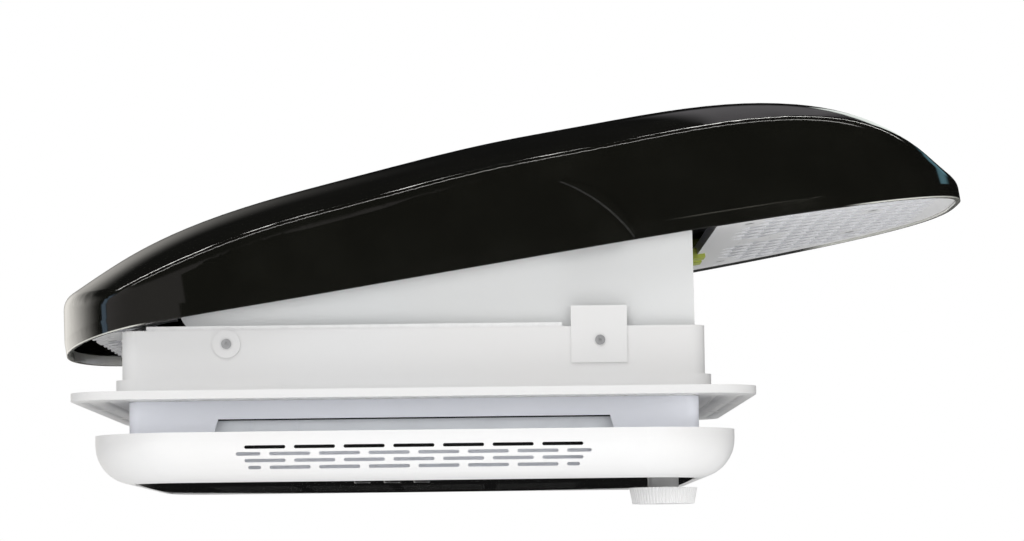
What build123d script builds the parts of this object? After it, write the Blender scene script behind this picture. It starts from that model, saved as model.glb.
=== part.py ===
from build123d import *
import os
from math import acos, asin, atan2, cos, degrees, hypot, pi, radians, sin, tan

# Caravan roof vent for the standard square roof opening, drawn with its lid open.
# Origin: middle of the roof opening, in the plane of the flange's underside.
# +X points at the raised end of the lid, +Z out of the roof. Millimetres.

# Fits
FIT_GAP = 0.3
RUN_GAP = 0.05
PRESS_GAP = 0.02
CUT = 5.0

# Roof opening, neck and flange
OPENING = 356.0
OPENING_GAP = 6.0
NECK_WALL = 3.0
NECK_CORNER = 8.0
INNER_CORNER = 2.0
NECK_BOTTOM = -44.2
CHEEK_LENGTH = 280.0
CHEEK_TOP = 37.5
LEDGE_THICK = 3.0
WINDOW_TOP = -11.0
WINDOW_BOTTOM = -31.0
WINDOW_HALF_TOP = 118.0
WINDOW_HALF_FOOT = 124.0
FLANGE_SIDE = 412.0
FLANGE_THICK = 5.0
FLANGE_CORNER = 30.0
FLANGE_SKIN = 1.6
ROOF_HOLE_RADIUS = 2.3
ROOF_HOLE_LINE = 192.5
ROOF_HOLE_NEAR = 62.0
ROOF_HOLE_FAR = 148.0
ROOF_PAD_RADIUS = 6.0

# Upstand of the base
BASE_SIDE = 352.0
BASE_CORNER = 10.0
BASE_HEIGHT = 42.5
FOOT_STEP = 3.7
FOOT_TOP = 13.0
SIDE_SCREW_X = 112.5
SIDE_SCREW_Z = 34.0
BOSS_RADIUS = 8.5
PAD_PROUD = 1.2
PAD_LEFT = 95.0
PAD_RIGHT = 128.8
PAD_FOOT = 20.4
PAD_TOP = 54.8
SEAL_GROOVE_WIDTH = 2.0
SEAL_GROOVE_DEPTH = 2.2

# Small fasteners
SCREW_RADIUS = 1.6
HEAD_RADIUS = 3.0
HEAD_HEIGHT = 1.2
RECESS_RADIUS = 0.9
BOSS_WALL = 2.4
SHROUD_SCREW_BITE = 7.2

# Diamond lattices under the flange and under the lid
DIAMOND_SIDE = 7.6
DIAMOND_PITCH = 14.0
LATTICE_RIM = 3.2
WAFFLE_SIDE = 13.0
WAFFLE_PITCH = 23.0
WAFFLE_RIM = 12.0
WAFFLE_DEPTH = 4.5

# Lid, in its own length and height over the rim
OPEN_ANGLE = 9.2
HINGE_RISE = 1.3
LID_LENGTH = 584.4
LID_WIDTH = 380.0
LID_HEIGHT = 91.3
LID_OVERHANG = 54.4
LID_DRAFT = 8.0
DRAFT_FOOT = 8.5
NOSE_REACH = 70.0
TAIL_REACH = 300.0
NOSE_POWER = 1.84
TAIL_POWER = 2.8
CROWN_RADIUS = 526.0
LID_WALL = 3.0
SHOULDER = 12.0
END_STEPS = 9
STRAIGHT_STEPS = 3
CROWN_SHARES = (
    (-0.530, 0.285), (-0.465, 0.482), (-0.400, 0.657), (-0.290, 0.826), (-0.152, 0.919),
    (0.000, 0.989), (0.095, 0.998), (0.190, 1.000), (0.305, 0.935), (0.398, 0.734),
    (0.445, 0.504), (0.475, 0.290), (0.500, 0.153), (0.516, 0.077),
)
FIN_HEAD = 99.0
FIN_TAIL = 138.0
FIN_FOOT = 1.0
FIN_RISE = 42.0
FIN_BULGE = 7.0
FIN_WIDTH = 4.0
FIN_PROUD = 2.2

# Liner and wings of the lid
LINER_FACE = 1.5
LINER_SKIN = 2.0
LINER_OPEN_LEFT = -163.0
LINER_OPEN_STEP = -143.0
LINER_NOSE = -199.0
LINER_OPEN_RIGHT = 190.0
LINER_OPEN_WIDE = 340.0
LINER_OPEN_NARROW = 296.0
TAB_GAP = 2.0
WING_FACE = 168.5
WING_THICK = 2.5
WING_FRONT = -140.0
WING_BACK = 170.2
WING_BACK_TOP = 169.4
WING_RELIEF = 1.8
WING_RELIEF_FOOT = 28.0
WING_RELIEF_SIDE = 0.6
WING_OVERLAP = 3.0
WING_CORNER = 18.0
WING_FLANGE = 9.0

WING_SCREW_REACH = 70.0
NOSE_SCREW_REACH = 18.0
NOSE_SCREW_PLACE = 84.0
TAIL_SCREW_INSET = 22.0
TAIL_SCREW_STEP = 84.0
TAIL_SCREW_FAR = 138.0
TAIL_SCREW_NEAR = 74.0
BUFFER_PLACES = (50.0, 90.0)
BUFFER_LENGTH = 22.0
BUFFER_LIP = 5.0
RIB_HALF = 15.0
RIB_END = 246.0
PILOT_RADIUS = 1.8
PILOT_PLACES = (214.5, 235.0)

# Cable entry in the neck
GROMMET_Y = 100.0
GROMMET_Z = -10.0
GROMMET_RADIUS = 5.0
GROMMET_LIP = 1.5
GROMMET_BORE = 2.5

# Hinge
HINGE_BARREL = 5.0
HINGE_POCKET = 10.0
HINGE_PIN = 2.5
HINGE_PLACE = 115.0
BARREL_LENGTH = 20.0
EAR_THICK = 8.0
HINGE_FOOT_THICK = 2.0
HINGE_FOOT_REACH = 20.0

# Fan, shroud and motor
FAN_X = -14.0
FAN_RADIUS = 134.0
RING_INNER = 137.0
RING_WALL = 2.5
RING_BOTTOM = -12.0
RING_TOP = 24.0
SHROUD_LEFT = -157.5
SHROUD_RIGHT = 128.0
SHROUD_FACE = 163.0
SHROUD_WALL = 2.5
SHROUD_TOP = 3.0
SHROUD_RIB = 1.6
SHROUD_RIB_PROUD = 1.2
SHROUD_RIB_PLACES = (-98.0, -71.0, 4.0, 95.0)
HUB_RADIUS = 31.0
HUB_TOP = 16.0
HUB_BOTTOM = -8.0
HUB_WALL = 2.5
NUT_HEIGHT = 4.0
BLADES = 10
BLADE_CHORD = 42.0
BLADE_THICK = 2.2
BLADE_MIDDLE = 4.0
BLADE_ROOT_ANGLE = 38.0
BLADE_TIP_ANGLE = 22.0
BRACKET_THICK = 4.0
BRACKET_ARM = 12.0
BRACKET_DISC = 34.0
BRACKET_SCREW_LINE = 147.0
MOTOR_RADIUS = 30.0
MOTOR_HEIGHT = 22.0
MOTOR_WALL = 2.0
SHAFT_RADIUS = 3.0
BUSH_RADIUS = 6.0
BUSH_LENGTH = 4.0
ROTOR_RADIUS = 18.0
ROTOR_LENGTH = 7.0
MAGNET_THICK = 4.0

# Screen
FRAME_HALF = 140.0
FRAME_WALL = 9.0
FRAME_THICK = 3.0
NET_THICK = 0.8
NET_WIRE = 1.4
NET_COUNT = 17

# Interior trim and its panel
TRIM_SIDE = 390.0
TRIM_CORNER = 56.0
TRIM_TOP = -19.5
TRIM_BOTTOM = -49.0
TRIM_WALL = 2.5
TRIM_ROUND = 24.0
TRIM_PLATE = 2.2
TRIM_SCREW_X = 163.5
TRIM_SCREW_Y = 50.0
TRIM_BOSS_TOP = -33.0
PANEL_THICK = 2.0
PANEL_CORNER = 34.0
PANEL_CROWN = 0.8
SLOT_LENGTH = 24.5
SLOT_HEIGHT = 2.1
SLOT_PITCH = 29.6
SLOT_ROW = 4.0
SLOT_FIRST = -28.7
SLOT_REACH = 106.0
SLOT_LAST_REACH = 99.0
SLOT_ROWS = 4
GRILLE_ROWS = 11
GRILLE_SLOT = 52.0
GRILLE_COLUMNS = 4
GRILLE_HEIGHT = 4.0
GRILLE_PITCH = 14.0

# Keys and control board
KEY_RADIUS = 5.0
KEY_PITCH = 18.0
KEY_LINE = -152.0
KEY_COUNT = 3
KEY_PROUD = 1.0
KEY_TRAVEL = 0.8
KEY_COLLAR = 1.2
BOARD_THICK = 1.6
BOARD_LENGTH = 78.0
BOARD_WIDTH = 16.0
BOARD_NOTCH = 29.0
BOARD_Z = -38.0
SWITCH_SIDE = 6.0
SWITCH_HEIGHT = 3.0

# Lift drive
KNOB_X = 152.0
KNOB_Y = -120.0
KNOB_RADIUS = 21.0
KNOB_FOOT_RADIUS = 19.0
KNOB_TOP = -54.2
KNOB_HEIGHT = 9.9
KNOB_RIBS = 60
KNOB_RIB_RADIUS = 0.7
STEM_RADIUS = 9.5
KNOB_SHAFT_RADIUS = 3.5
GEAR_MODULE = 1.5
PINION_TEETH = 12
PINION_WIDTH = 7.0
WHEEL_TEETH = 12
WHEEL_WIDTH = 4.0
WORM_RADIUS = 6.0
WORM_TURNS = 4
ADDENDUM_SHARE = 0.75
DEDENDUM_SHARE = 1.15
BACKLASH = 0.55
PRESSURE_ANGLE = radians(20)
FLANK_STEPS = 4
CROSS_SHAFT_RADIUS = 4.0
CROSS_SHAFT_Z = 26.0
RACK_BACK = 5.0
RACK_TEETH_BELOW = 2
RACK_TEETH_ABOVE = 13
RACK_WIDTH = 8.0
POST_X_HALF = 6.5
POST_THICK = 8.0
POST_PLACE = 148.0
CASE_WALL = 2.5
CASE_FRONT = 15.0
CASE_TOP = 39.5
CASE_STEP = 9.0
COVER_THICK = 2.5

# Sizes worked out from the values above
NECK_SIDE = OPENING - 2 * OPENING_GAP
NECK_HALF = NECK_SIDE / 2
NECK_INNER = NECK_HALF - NECK_WALL
FLANGE_HALF = FLANGE_SIDE / 2
BASE_HALF = BASE_SIDE / 2
BASE_INNER = NECK_HALF + FIT_GAP
FOOT_HALF = BASE_HALF + FOOT_STEP
LEDGE_TOP = NECK_BOTTOM + LEDGE_THICK
HINGE_X = -NECK_HALF
HINGE_Z = BASE_HEIGHT + HINGE_RISE
LID_X = HINGE_X - LID_OVERHANG + LID_LENGTH / 2
LINER_TOP = LINER_FACE + WAFFLE_DEPTH + LINER_SKIN
WING_INNER = WING_FACE - WING_THICK
RING_OUTER = RING_INNER + RING_WALL
TRIM_HALF = TRIM_SIDE / 2
PANEL_HALF = TRIM_HALF - TRIM_ROUND
PANEL_TOP = TRIM_BOTTOM + PANEL_THICK
PLATE_FOOT = PANEL_TOP + FIT_GAP
PLATE_TOP = PLATE_FOOT + TRIM_PLATE
INTAKE_HALF = FRAME_HALF - FRAME_WALL
MOTOR_TOP = RING_BOTTOM - BRACKET_THICK
MOTOR_BOTTOM = MOTOR_TOP - MOTOR_HEIGHT
GEAR_PITCH = pi * GEAR_MODULE
PINION_RADIUS = GEAR_MODULE * PINION_TEETH / 2
WHEEL_RADIUS = GEAR_MODULE * WHEEL_TEETH / 2
ADDENDUM = GEAR_MODULE * ADDENDUM_SHARE
DEDENDUM = GEAR_MODULE * DEDENDUM_SHARE
CROSS_SHAFT_X = KNOB_X - WORM_RADIUS - WHEEL_RADIUS
DRIVE_REACH = hypot(CROSS_SHAFT_X - HINGE_X, CROSS_SHAFT_Z - HINGE_Z)
DRIVE_ANGLE = atan2(CROSS_SHAFT_Z - HINGE_Z, CROSS_SHAFT_X - HINGE_X)
RACK_RADIUS = DRIVE_REACH + PINION_RADIUS
RACK_STEP = GEAR_PITCH / RACK_RADIUS
RACK_FACE = WING_INNER
KEY_Z = TRIM_BOTTOM - KEY_PROUD
KNOB_BOTTOM = KNOB_TOP - KNOB_HEIGHT


def block(x0, x1, y0, y1, z0, z1):
    """A box between two corners."""
    return Pos((x0 + x1) / 2, (y0 + y1) / 2, (z0 + z1) / 2) * Box(x1 - x0, y1 - y0, z1 - z0)


def rod(radius, z0, z1, x=0, y=0):
    """An upright cylinder."""
    return Pos(x, y, (z0 + z1) / 2) * Cylinder(radius, z1 - z0)


def rod_y(radius, y0, y1, x, z):
    """A cylinder that lies along Y."""
    return Pos(x, (y0 + y1) / 2, z) * Rot(90, 0, 0) * Cylinder(radius, y1 - y0)


def rod_x(radius, x0, x1, y, z):
    """A cylinder that lies along X."""
    return Pos((x0 + x1) / 2, y, z) * Rot(0, 90, 0) * Cylinder(radius, x1 - x0)


def plate(half_x, half_y, corner, z0, z1, x=0, y=0):
    """A flat plate with rounded corners."""
    return extrude(Pos(x, y, z0) * RectangleRounded(2 * half_x, 2 * half_y, corner), z1 - z0)


def frame(outer, outer_corner, inner, inner_corner, z0, z1):
    """A square ring with rounded corners."""
    hole = plate(inner, inner, inner_corner, z0 - CUT, z1 + CUT)
    return plate(outer, outer, outer_corner, z0, z1) - hole


def slab(points, y0, y1):
    """A flat piece of any outline in X and Z, from y0 to y1."""
    wire = Polyline([(x, y0, z) for x, z in points], close=True)
    return extrude(make_face(wire), y1 - y0, dir=(0, 1, 0))


def opened(shape):
    """Turns a piece of the closed lid up to the drawn opening."""
    return shape.rotate(Axis((HINGE_X, 0, HINGE_Z), (0, -1, 0)), OPEN_ANGLE)


def group(shapes):
    """Like pieces as separate solids of one node."""
    return Compound([solid for shape in shapes for solid in shape.solids()])


def screw(x, y, z, length, up=True):
    """A pan head screw whose head seats at z, with its shank going up or down."""
    way = 1 if up else -1
    head = rod(HEAD_RADIUS, min(z, z - way * HEAD_HEIGHT), max(z, z - way * HEAD_HEIGHT), x, y)
    shank = rod(SCREW_RADIUS, min(z, z + way * length), max(z, z + way * length), x, y)
    drive_z = z - way * HEAD_HEIGHT
    drive = rod(RECESS_RADIUS, drive_z - HEAD_HEIGHT / 2, drive_z + HEAD_HEIGHT / 2, x, y)
    return head + shank - drive


def screw_y(x, y, z, length, side):
    """The same screw lying along Y, its head outside."""
    head = rod_y(HEAD_RADIUS, min(y, y + side * HEAD_HEIGHT), max(y, y + side * HEAD_HEIGHT), x, z)
    shank = rod_y(SCREW_RADIUS, min(y, y - side * length), max(y, y - side * length), x, z)
    drive_y = y + side * HEAD_HEIGHT
    drive = rod_y(RECESS_RADIUS, drive_y - HEAD_HEIGHT / 2, drive_y + HEAD_HEIGHT / 2, x, z)
    return head + shank - drive


# Base frame: flange and upstand


def diamond(x, y, side):
    return Pos(x, y) * Rot(0, 0, 45) * Rectangle(side, side)


def flange_diamonds():
    """Places of the recesses, in two staggered rows along each side."""
    inner = BASE_HALF + DIAMOND_SIDE
    outer = FLANGE_HALF - LATTICE_RIM - DIAMOND_SIDE / 2 - DIAMOND_SIDE / 4
    count = int(2 * (FLANGE_HALF - FLANGE_CORNER) / DIAMOND_PITCH)
    places = []
    for row, line in enumerate((inner, outer)):
        for index in range(count - row):
            along = (index - (count - row - 1) / 2) * DIAMOND_PITCH
            places += [(along, line), (along, -line), (line, along), (-line, along)]
    return places


def roof_holes():
    """Screw holes of the flange: two pairs of lines, each a rectangle of four."""
    ends = [(sx * ROOF_HOLE_LINE, sy * ROOF_HOLE_NEAR) for sx in (-1, 1) for sy in (-1, 1)]
    sides = [(sx * ROOF_HOLE_FAR, sy * ROOF_HOLE_LINE) for sx in (-1, 1) for sy in (-1, 1)]
    return ends + sides


def flange_lattice():
    """The flange's lower layer, with its recesses open underneath."""
    outline = RectangleRounded(FLANGE_SIDE, FLANGE_SIDE, FLANGE_CORNER)
    clear = ROOF_PAD_RADIUS + DIAMOND_SIDE / 2
    places = [
        (x, y) for x, y in flange_diamonds()
        if all(hypot(x - hx, y - hy) > clear for hx, hy in roof_holes())
    ]
    inner = RectangleRounded(2 * BASE_INNER, 2 * BASE_INNER, INNER_CORNER)
    holes = [inner.wire()] + [diamond(x, y, DIAMOND_SIDE).wire() for x, y in places]
    face = Face(outline.wire(), holes)
    return extrude(face, FLANGE_THICK - FLANGE_SKIN)


def hinge_ears():
    """Ears on the left wall that hold the hinge pins."""
    ears = []
    for side in (-1, 1):
        for end in (-1, 1):
            middle = side * HINGE_PLACE + end * (BARREL_LENGTH / 2 + FIT_GAP + EAR_THICK / 2)
            y0, y1 = middle - EAR_THICK / 2, middle + EAR_THICK / 2
            barrel = rod_y(HINGE_BARREL, y0, y1, HINGE_X, HINGE_Z)
            web = block(-BASE_HALF, HINGE_X + HINGE_BARREL, y0, y1, BASE_HEIGHT - EAR_THICK, HINGE_Z)
            ears.append(barrel + web)
    return ears


def base_frame():
    skin = frame(
        FLANGE_HALF, FLANGE_CORNER, BASE_INNER, INNER_CORNER,
        FLANGE_THICK - FLANGE_SKIN, FLANGE_THICK,
    )
    wall = frame(BASE_HALF, BASE_CORNER, BASE_INNER, INNER_CORNER, 0, BASE_HEIGHT)
    foot = frame(
        FOOT_HALF, BASE_CORNER + FOOT_STEP, BASE_INNER, INNER_CORNER,
        FLANGE_THICK, FOOT_TOP,
    )
    body = flange_lattice() + [skin, wall, foot] + hinge_ears()
    bosses = []
    for side in (-1, 1):
        face = side * BASE_HALF
        low, high = sorted((side * BASE_INNER, face + side * PAD_PROUD))
        boss = rod_y(BOSS_RADIUS, low, high, -SIDE_SCREW_X, SIDE_SCREW_Z)
        bosses.append(boss & block(-BASE_HALF, 0, low, high, 0, BASE_HEIGHT))
        bosses.append(block(PAD_LEFT, PAD_RIGHT, low, high, PAD_FOOT, PAD_TOP))
    body = body + bosses
    groove_outer = BASE_HALF - (BASE_HALF - BASE_INNER - SEAL_GROOVE_WIDTH) / 2
    cuts = [frame(
        groove_outer, BASE_CORNER, groove_outer - SEAL_GROOVE_WIDTH, BASE_CORNER - SEAL_GROOVE_WIDTH,
        BASE_HEIGHT - SEAL_GROOVE_DEPTH, BASE_HEIGHT,
    ) & block(-BASE_HALF + HINGE_BARREL * 3, PAD_LEFT - CUT, -BASE_HALF, BASE_HALF, 0, BASE_HEIGHT)]
    for side in (-1, 1):
        middle = side * HINGE_PLACE
        half = BARREL_LENGTH / 2 + FIT_GAP
        low = HINGE_Z - HINGE_BARREL - FIT_GAP
        cuts.append(block(
            -BASE_HALF - CUT, HINGE_X + HINGE_POCKET, middle - half, middle + half, low, BASE_HEIGHT + CUT,
        ))
        pin_low = middle - half - EAR_THICK - CUT
        pin_high = middle + half + EAR_THICK + CUT
        cuts.append(rod_y(HINGE_PIN + PRESS_GAP, pin_low, pin_high, HINGE_X, HINGE_Z))
        y0, y1 = sorted((side * (WING_INNER - WING_RELIEF_SIDE), side * (WING_FACE + WING_RELIEF_SIDE)))
        cuts.append(block(
            BASE_INNER - CUT, BASE_INNER + WING_RELIEF, y0, y1, WING_RELIEF_FOOT, BASE_HEIGHT + CUT,
        ))
        for sign in (-1, 1):
            y0, y1 = sorted((side * (BASE_INNER - CUT), side * (BASE_HALF + CUT)))
            cuts.append(rod_y(SCREW_RADIUS + PRESS_GAP, y0, y1, sign * SIDE_SCREW_X, SIDE_SCREW_Z))
    for x, y in roof_holes():
        cuts.append(rod(ROOF_HOLE_RADIUS, -CUT, FLANGE_THICK + CUT, x, y))
    return body - cuts


def lid_seal():
    """Soft strip in the groove along the top of the two long walls."""
    outer = BASE_HALF - (BASE_HALF - BASE_INNER - SEAL_GROOVE_WIDTH) / 2 - RUN_GAP
    inner = outer - SEAL_GROOVE_WIDTH + 2 * RUN_GAP
    ring = frame(
        outer, BASE_CORNER - RUN_GAP, inner, BASE_CORNER - SEAL_GROOVE_WIDTH,
        BASE_HEIGHT - SEAL_GROOVE_DEPTH, HINGE_Z + LINER_FACE - FIT_GAP,
    )
    reach = block(
        -BASE_HALF + HINGE_BARREL * 3 + FIT_GAP, PAD_LEFT - CUT - FIT_GAP,
        -BASE_HALF, BASE_HALF, 0, HINGE_Z + LINER_FACE,
    )
    return group([ring & reach])


def hinge_pins():
    pins = []
    for side in (-1, 1):
        half = BARREL_LENGTH / 2 + FIT_GAP + EAR_THICK
        middle = side * HINGE_PLACE
        pins.append(rod_y(HINGE_PIN, middle - half, middle + half, HINGE_X, HINGE_Z))
    return group(pins)


def side_screws():
    screws = []
    for side in (-1, 1):
        for sign in (-1, 1):
            length = BASE_HALF + PAD_PROUD - NECK_INNER - NECK_WALL / 4
            face = side * (BASE_HALF + PAD_PROUD)
            screws.append(screw_y(sign * SIDE_SCREW_X, face, SIDE_SCREW_Z, length, side))
    return group(screws)


# Neck


def ledge_hole(half, z0, z1):
    return block(FAN_X - half, FAN_X + half, -half, half, z0, z1)


def neck_frame():
    ring = frame(NECK_HALF, NECK_CORNER, NECK_INNER, INNER_CORNER, NECK_BOTTOM, 0)
    ledge = plate(NECK_HALF, NECK_HALF, NECK_CORNER, NECK_BOTTOM, LEDGE_TOP)
    ledge = ledge - ledge_hole(FRAME_HALF + FIT_GAP, NECK_BOTTOM - CUT, LEDGE_TOP + CUT)
    body = ring + ledge
    for side in (-1, 1):
        y0, y1 = sorted((side * NECK_INNER, side * NECK_HALF))
        body = body + block(-CHEEK_LENGTH / 2, CHEEK_LENGTH / 2, y0, y1, -NECK_WALL, CHEEK_TOP)
    bosses = [
        rod(SCREW_RADIUS + BOSS_WALL, NECK_BOTTOM, TRIM_BOSS_TOP, sx * TRIM_SCREW_X, sy * TRIM_SCREW_Y)
        for sx in (-1, 1) for sy in (-1, 1)
    ]
    body = body + bosses
    posts = [rod(SCREW_RADIUS + BOSS_WALL, NECK_BOTTOM, BOARD_Z, x, y) for x, y in board_posts()]
    body = body - block(
        FAN_X - BOARD_NOTCH, FAN_X + BOARD_NOTCH, KEY_LINE - BOARD_WIDTH / 2, -FRAME_HALF,
        NECK_BOTTOM - CUT, LEDGE_TOP + CUT,
    ) + posts
    window = [
        (-WINDOW_HALF_TOP, WINDOW_TOP), (WINDOW_HALF_TOP, WINDOW_TOP),
        (WINDOW_HALF_FOOT, WINDOW_BOTTOM), (-WINDOW_HALF_FOOT, WINDOW_BOTTOM),
    ]
    cuts = [slab(window, side * NECK_HALF - CUT, side * NECK_HALF + CUT) for side in (-1, 1)]
    for sx in (-1, 1):
        for sy in (-1, 1):
            cuts.append(rod(
                SCREW_RADIUS + PRESS_GAP, NECK_BOTTOM - CUT, TRIM_BOSS_TOP - BOSS_WALL,
                sx * TRIM_SCREW_X, sy * TRIM_SCREW_Y,
            ))
            y0, y1 = sorted((sy * (NECK_INNER - CUT), sy * (NECK_HALF + CUT)))
            cuts.append(rod_y(SCREW_RADIUS + PRESS_GAP, y0, y1, sx * SIDE_SCREW_X, SIDE_SCREW_Z))
    for x, y in shroud_screw_places():
        cuts.append(rod(SCREW_RADIUS + PRESS_GAP, NECK_BOTTOM - CUT, LEDGE_TOP + CUT, x, y))
        cuts.append(rod(HEAD_RADIUS + FIT_GAP, NECK_BOTTOM - CUT, NECK_BOTTOM + HEAD_HEIGHT, x, y))
    for x, y in board_posts():
        cuts.append(rod(SCREW_RADIUS + PRESS_GAP, LEDGE_TOP, BOARD_Z + CUT, x, y))
    cuts.append(rod(STEM_RADIUS, NECK_BOTTOM - CUT, LEDGE_TOP + CUT, KNOB_X, KNOB_Y))
    cuts.append(rod_x(GROMMET_RADIUS + PRESS_GAP, -NECK_HALF - CUT, -NECK_INNER + CUT, GROMMET_Y, GROMMET_Z))
    within = trim_bowl(TRIM_WALL + FIT_GAP, CHEEK_TOP + CUT, NECK_BOTTOM, trim_inner_round())
    return (body - cuts) & within


# Shroud, fan and motor


def fan_shroud():
    box = block(SHROUD_LEFT, SHROUD_RIGHT, -SHROUD_FACE, SHROUD_FACE, LEDGE_TOP, SHROUD_TOP)
    hollow = block(
        SHROUD_LEFT + SHROUD_WALL, SHROUD_RIGHT - SHROUD_WALL,
        -SHROUD_FACE + SHROUD_WALL, SHROUD_FACE - SHROUD_WALL,
        LEDGE_TOP - CUT, SHROUD_TOP - SHROUD_WALL,
    )
    mouth = rod(RING_OUTER, LEDGE_TOP, SHROUD_TOP + CUT, FAN_X)
    ring = rod(RING_OUTER, RING_BOTTOM, RING_TOP, FAN_X) - rod(
        RING_INNER, RING_BOTTOM - CUT, RING_TOP + CUT, FAN_X
    )
    body = box - hollow - mouth + ring
    ribs = []
    for place in SHROUD_RIB_PLACES:
        for side in (-1, 1):
            y0, y1 = sorted((side * SHROUD_FACE, side * (SHROUD_FACE + SHROUD_RIB_PROUD)))
            ribs.append(block(place - SHROUD_RIB / 2, place + SHROUD_RIB / 2, y0, y1, LEDGE_TOP, SHROUD_TOP))
    posts = []
    holes = []
    for x, y in bracket_screw_places():
        posts.append(rod(SCREW_RADIUS + BOSS_WALL, RING_BOTTOM, SHROUD_TOP, x, y))
        holes.append(rod(SCREW_RADIUS + PRESS_GAP, RING_BOTTOM - CUT, SHROUD_TOP - SHROUD_WALL, x, y))
    for x, y in shroud_screw_places():
        posts.append(rod(SCREW_RADIUS + BOSS_WALL, LEDGE_TOP, SHROUD_TOP, x, y))
        holes.append(rod(SCREW_RADIUS + PRESS_GAP, LEDGE_TOP - CUT, RING_BOTTOM, x, y))
    return body + ribs + posts - holes


def bracket_screw_places():
    reach = BRACKET_SCREW_LINE * cos(radians(45))
    return [(FAN_X + sx * reach, sy * reach) for sx in (-1, 1) for sy in (-1, 1)]


def shroud_screw_places():
    """Screws up through the neck's ledge, in the corners of the shroud."""
    inset = SHROUD_WALL + SCREW_RADIUS + BOSS_WALL - SHROUD_WALL / 2
    columns = (SHROUD_LEFT + inset, SHROUD_RIGHT - inset)
    return [(x, sy * (SHROUD_FACE - inset)) for x in columns for sy in (-1, 1)]


def motor_bracket():
    z0, z1 = MOTOR_TOP, RING_BOTTOM
    body = rod(BRACKET_DISC, z0, z1, FAN_X)
    reach = BRACKET_SCREW_LINE + SCREW_RADIUS + BOSS_WALL
    for turn in (45, 135):
        arm = Rot(0, 0, turn) * Box(2 * reach, BRACKET_ARM, z1 - z0)
        body = body + Pos(FAN_X, 0, (z0 + z1) / 2) * arm
    cuts = [rod(BUSH_RADIUS + PRESS_GAP, z0 - CUT, z1 + CUT, FAN_X)]
    for x, y in bracket_screw_places():
        cuts.append(rod(SCREW_RADIUS + PRESS_GAP, z0 - CUT, z1 + CUT, x, y))
    for x, y in motor_screw_places():
        cuts.append(rod(SCREW_RADIUS + PRESS_GAP, z0 - CUT, z1 + CUT, x, y))
        cuts.append(rod(HEAD_RADIUS + FIT_GAP, z1 - HEAD_HEIGHT, z1 + CUT, x, y))
    return body - cuts


def motor_screw_places():
    reach = (MOTOR_RADIUS - MOTOR_WALL + BUSH_RADIUS) / 2
    return [(FAN_X + sx * reach, 0) for sx in (-1, 1)]


def motor_case():
    """Can with a closed top, which carries the upper bush."""
    can = rod(MOTOR_RADIUS, MOTOR_BOTTOM, MOTOR_TOP, FAN_X)
    hollow = rod(MOTOR_RADIUS - MOTOR_WALL, MOTOR_BOTTOM - CUT, MOTOR_TOP - BUSH_LENGTH, FAN_X)
    cuts = [hollow, rod(BUSH_RADIUS + PRESS_GAP, MOTOR_BOTTOM - CUT, MOTOR_TOP + CUT, FAN_X)]
    for x, y in motor_screw_places():
        cuts.append(rod(SCREW_RADIUS + PRESS_GAP, MOTOR_TOP - BUSH_LENGTH - CUT, MOTOR_TOP + CUT, x, y))
    return can - cuts


def motor_cap():
    """End plate pressed into the can, which carries the lower bush."""
    disc = rod(MOTOR_RADIUS - MOTOR_WALL - PRESS_GAP, MOTOR_BOTTOM, MOTOR_BOTTOM + BUSH_LENGTH, FAN_X)
    return disc - rod(BUSH_RADIUS + PRESS_GAP, MOTOR_BOTTOM - CUT, MOTOR_BOTTOM + BUSH_LENGTH + CUT, FAN_X)


def motor_bushes():
    bushes = []
    for z0 in (MOTOR_BOTTOM, MOTOR_TOP - BUSH_LENGTH):
        bush = rod(BUSH_RADIUS, z0, z0 + BUSH_LENGTH, FAN_X)
        bushes.append(bush - rod(SHAFT_RADIUS + RUN_GAP, z0 - CUT, z0 + BUSH_LENGTH + CUT, FAN_X))
    return group(bushes)


def motor_magnets():
    z0, z1 = rotor_span()
    outer = MOTOR_RADIUS - MOTOR_WALL - PRESS_GAP
    ring = rod(outer, z0, z1, FAN_X) - rod(outer - MAGNET_THICK, z0 - CUT, z1 + CUT, FAN_X)
    gap = block(FAN_X - BUSH_RADIUS, FAN_X + BUSH_RADIUS, -2 * outer, 2 * outer, z0, z1)
    return group([ring - gap])


def rotor_span():
    middle = (MOTOR_BOTTOM + MOTOR_TOP) / 2
    return middle - ROTOR_LENGTH / 2, middle + ROTOR_LENGTH / 2


def motor_shaft():
    """Shaft with the wound rotor pressed on, up to the fan's hub."""
    shaft = rod(SHAFT_RADIUS, MOTOR_BOTTOM, HUB_TOP + NUT_HEIGHT, FAN_X)
    return shaft + rod(ROTOR_RADIUS, *rotor_span(), FAN_X)


def fan_blade(index):
    """One blade, twisted from a steep root to a flatter tip."""
    turn = index * 360 / BLADES
    faces = []
    root = HUB_RADIUS - HUB_WALL / 2
    for radius, angle in ((root, BLADE_ROOT_ANGLE), (FAN_RADIUS, BLADE_TIP_ANGLE)):
        plane = Plane(origin=(radius, 0, BLADE_MIDDLE), x_dir=(0, 1, 0), z_dir=(1, 0, 0))
        chord = BLADE_CHORD if radius > root else BLADE_CHORD / 2
        faces.append(plane * Rot(0, 0, angle) * Rectangle(chord, BLADE_THICK))
    return Pos(FAN_X, 0, 0) * Rot(0, 0, turn) * loft(faces, ruled=True)


def fan_blades():
    hub = rod(HUB_RADIUS, HUB_BOTTOM, HUB_TOP, FAN_X)
    hollow = rod(HUB_RADIUS - HUB_WALL, HUB_BOTTOM - CUT, HUB_TOP - HUB_WALL, FAN_X)
    boss = rod(SHAFT_RADIUS + BOSS_WALL, HUB_BOTTOM, HUB_TOP, FAN_X)
    body = hub - hollow + boss + [fan_blade(index) for index in range(BLADES)]
    limit = rod(FAN_RADIUS, HUB_BOTTOM - CUT * 2, HUB_TOP + CUT * 2, FAN_X)
    return (body & limit) - rod(SHAFT_RADIUS + PRESS_GAP, HUB_BOTTOM - CUT, HUB_TOP + CUT, FAN_X)


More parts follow.
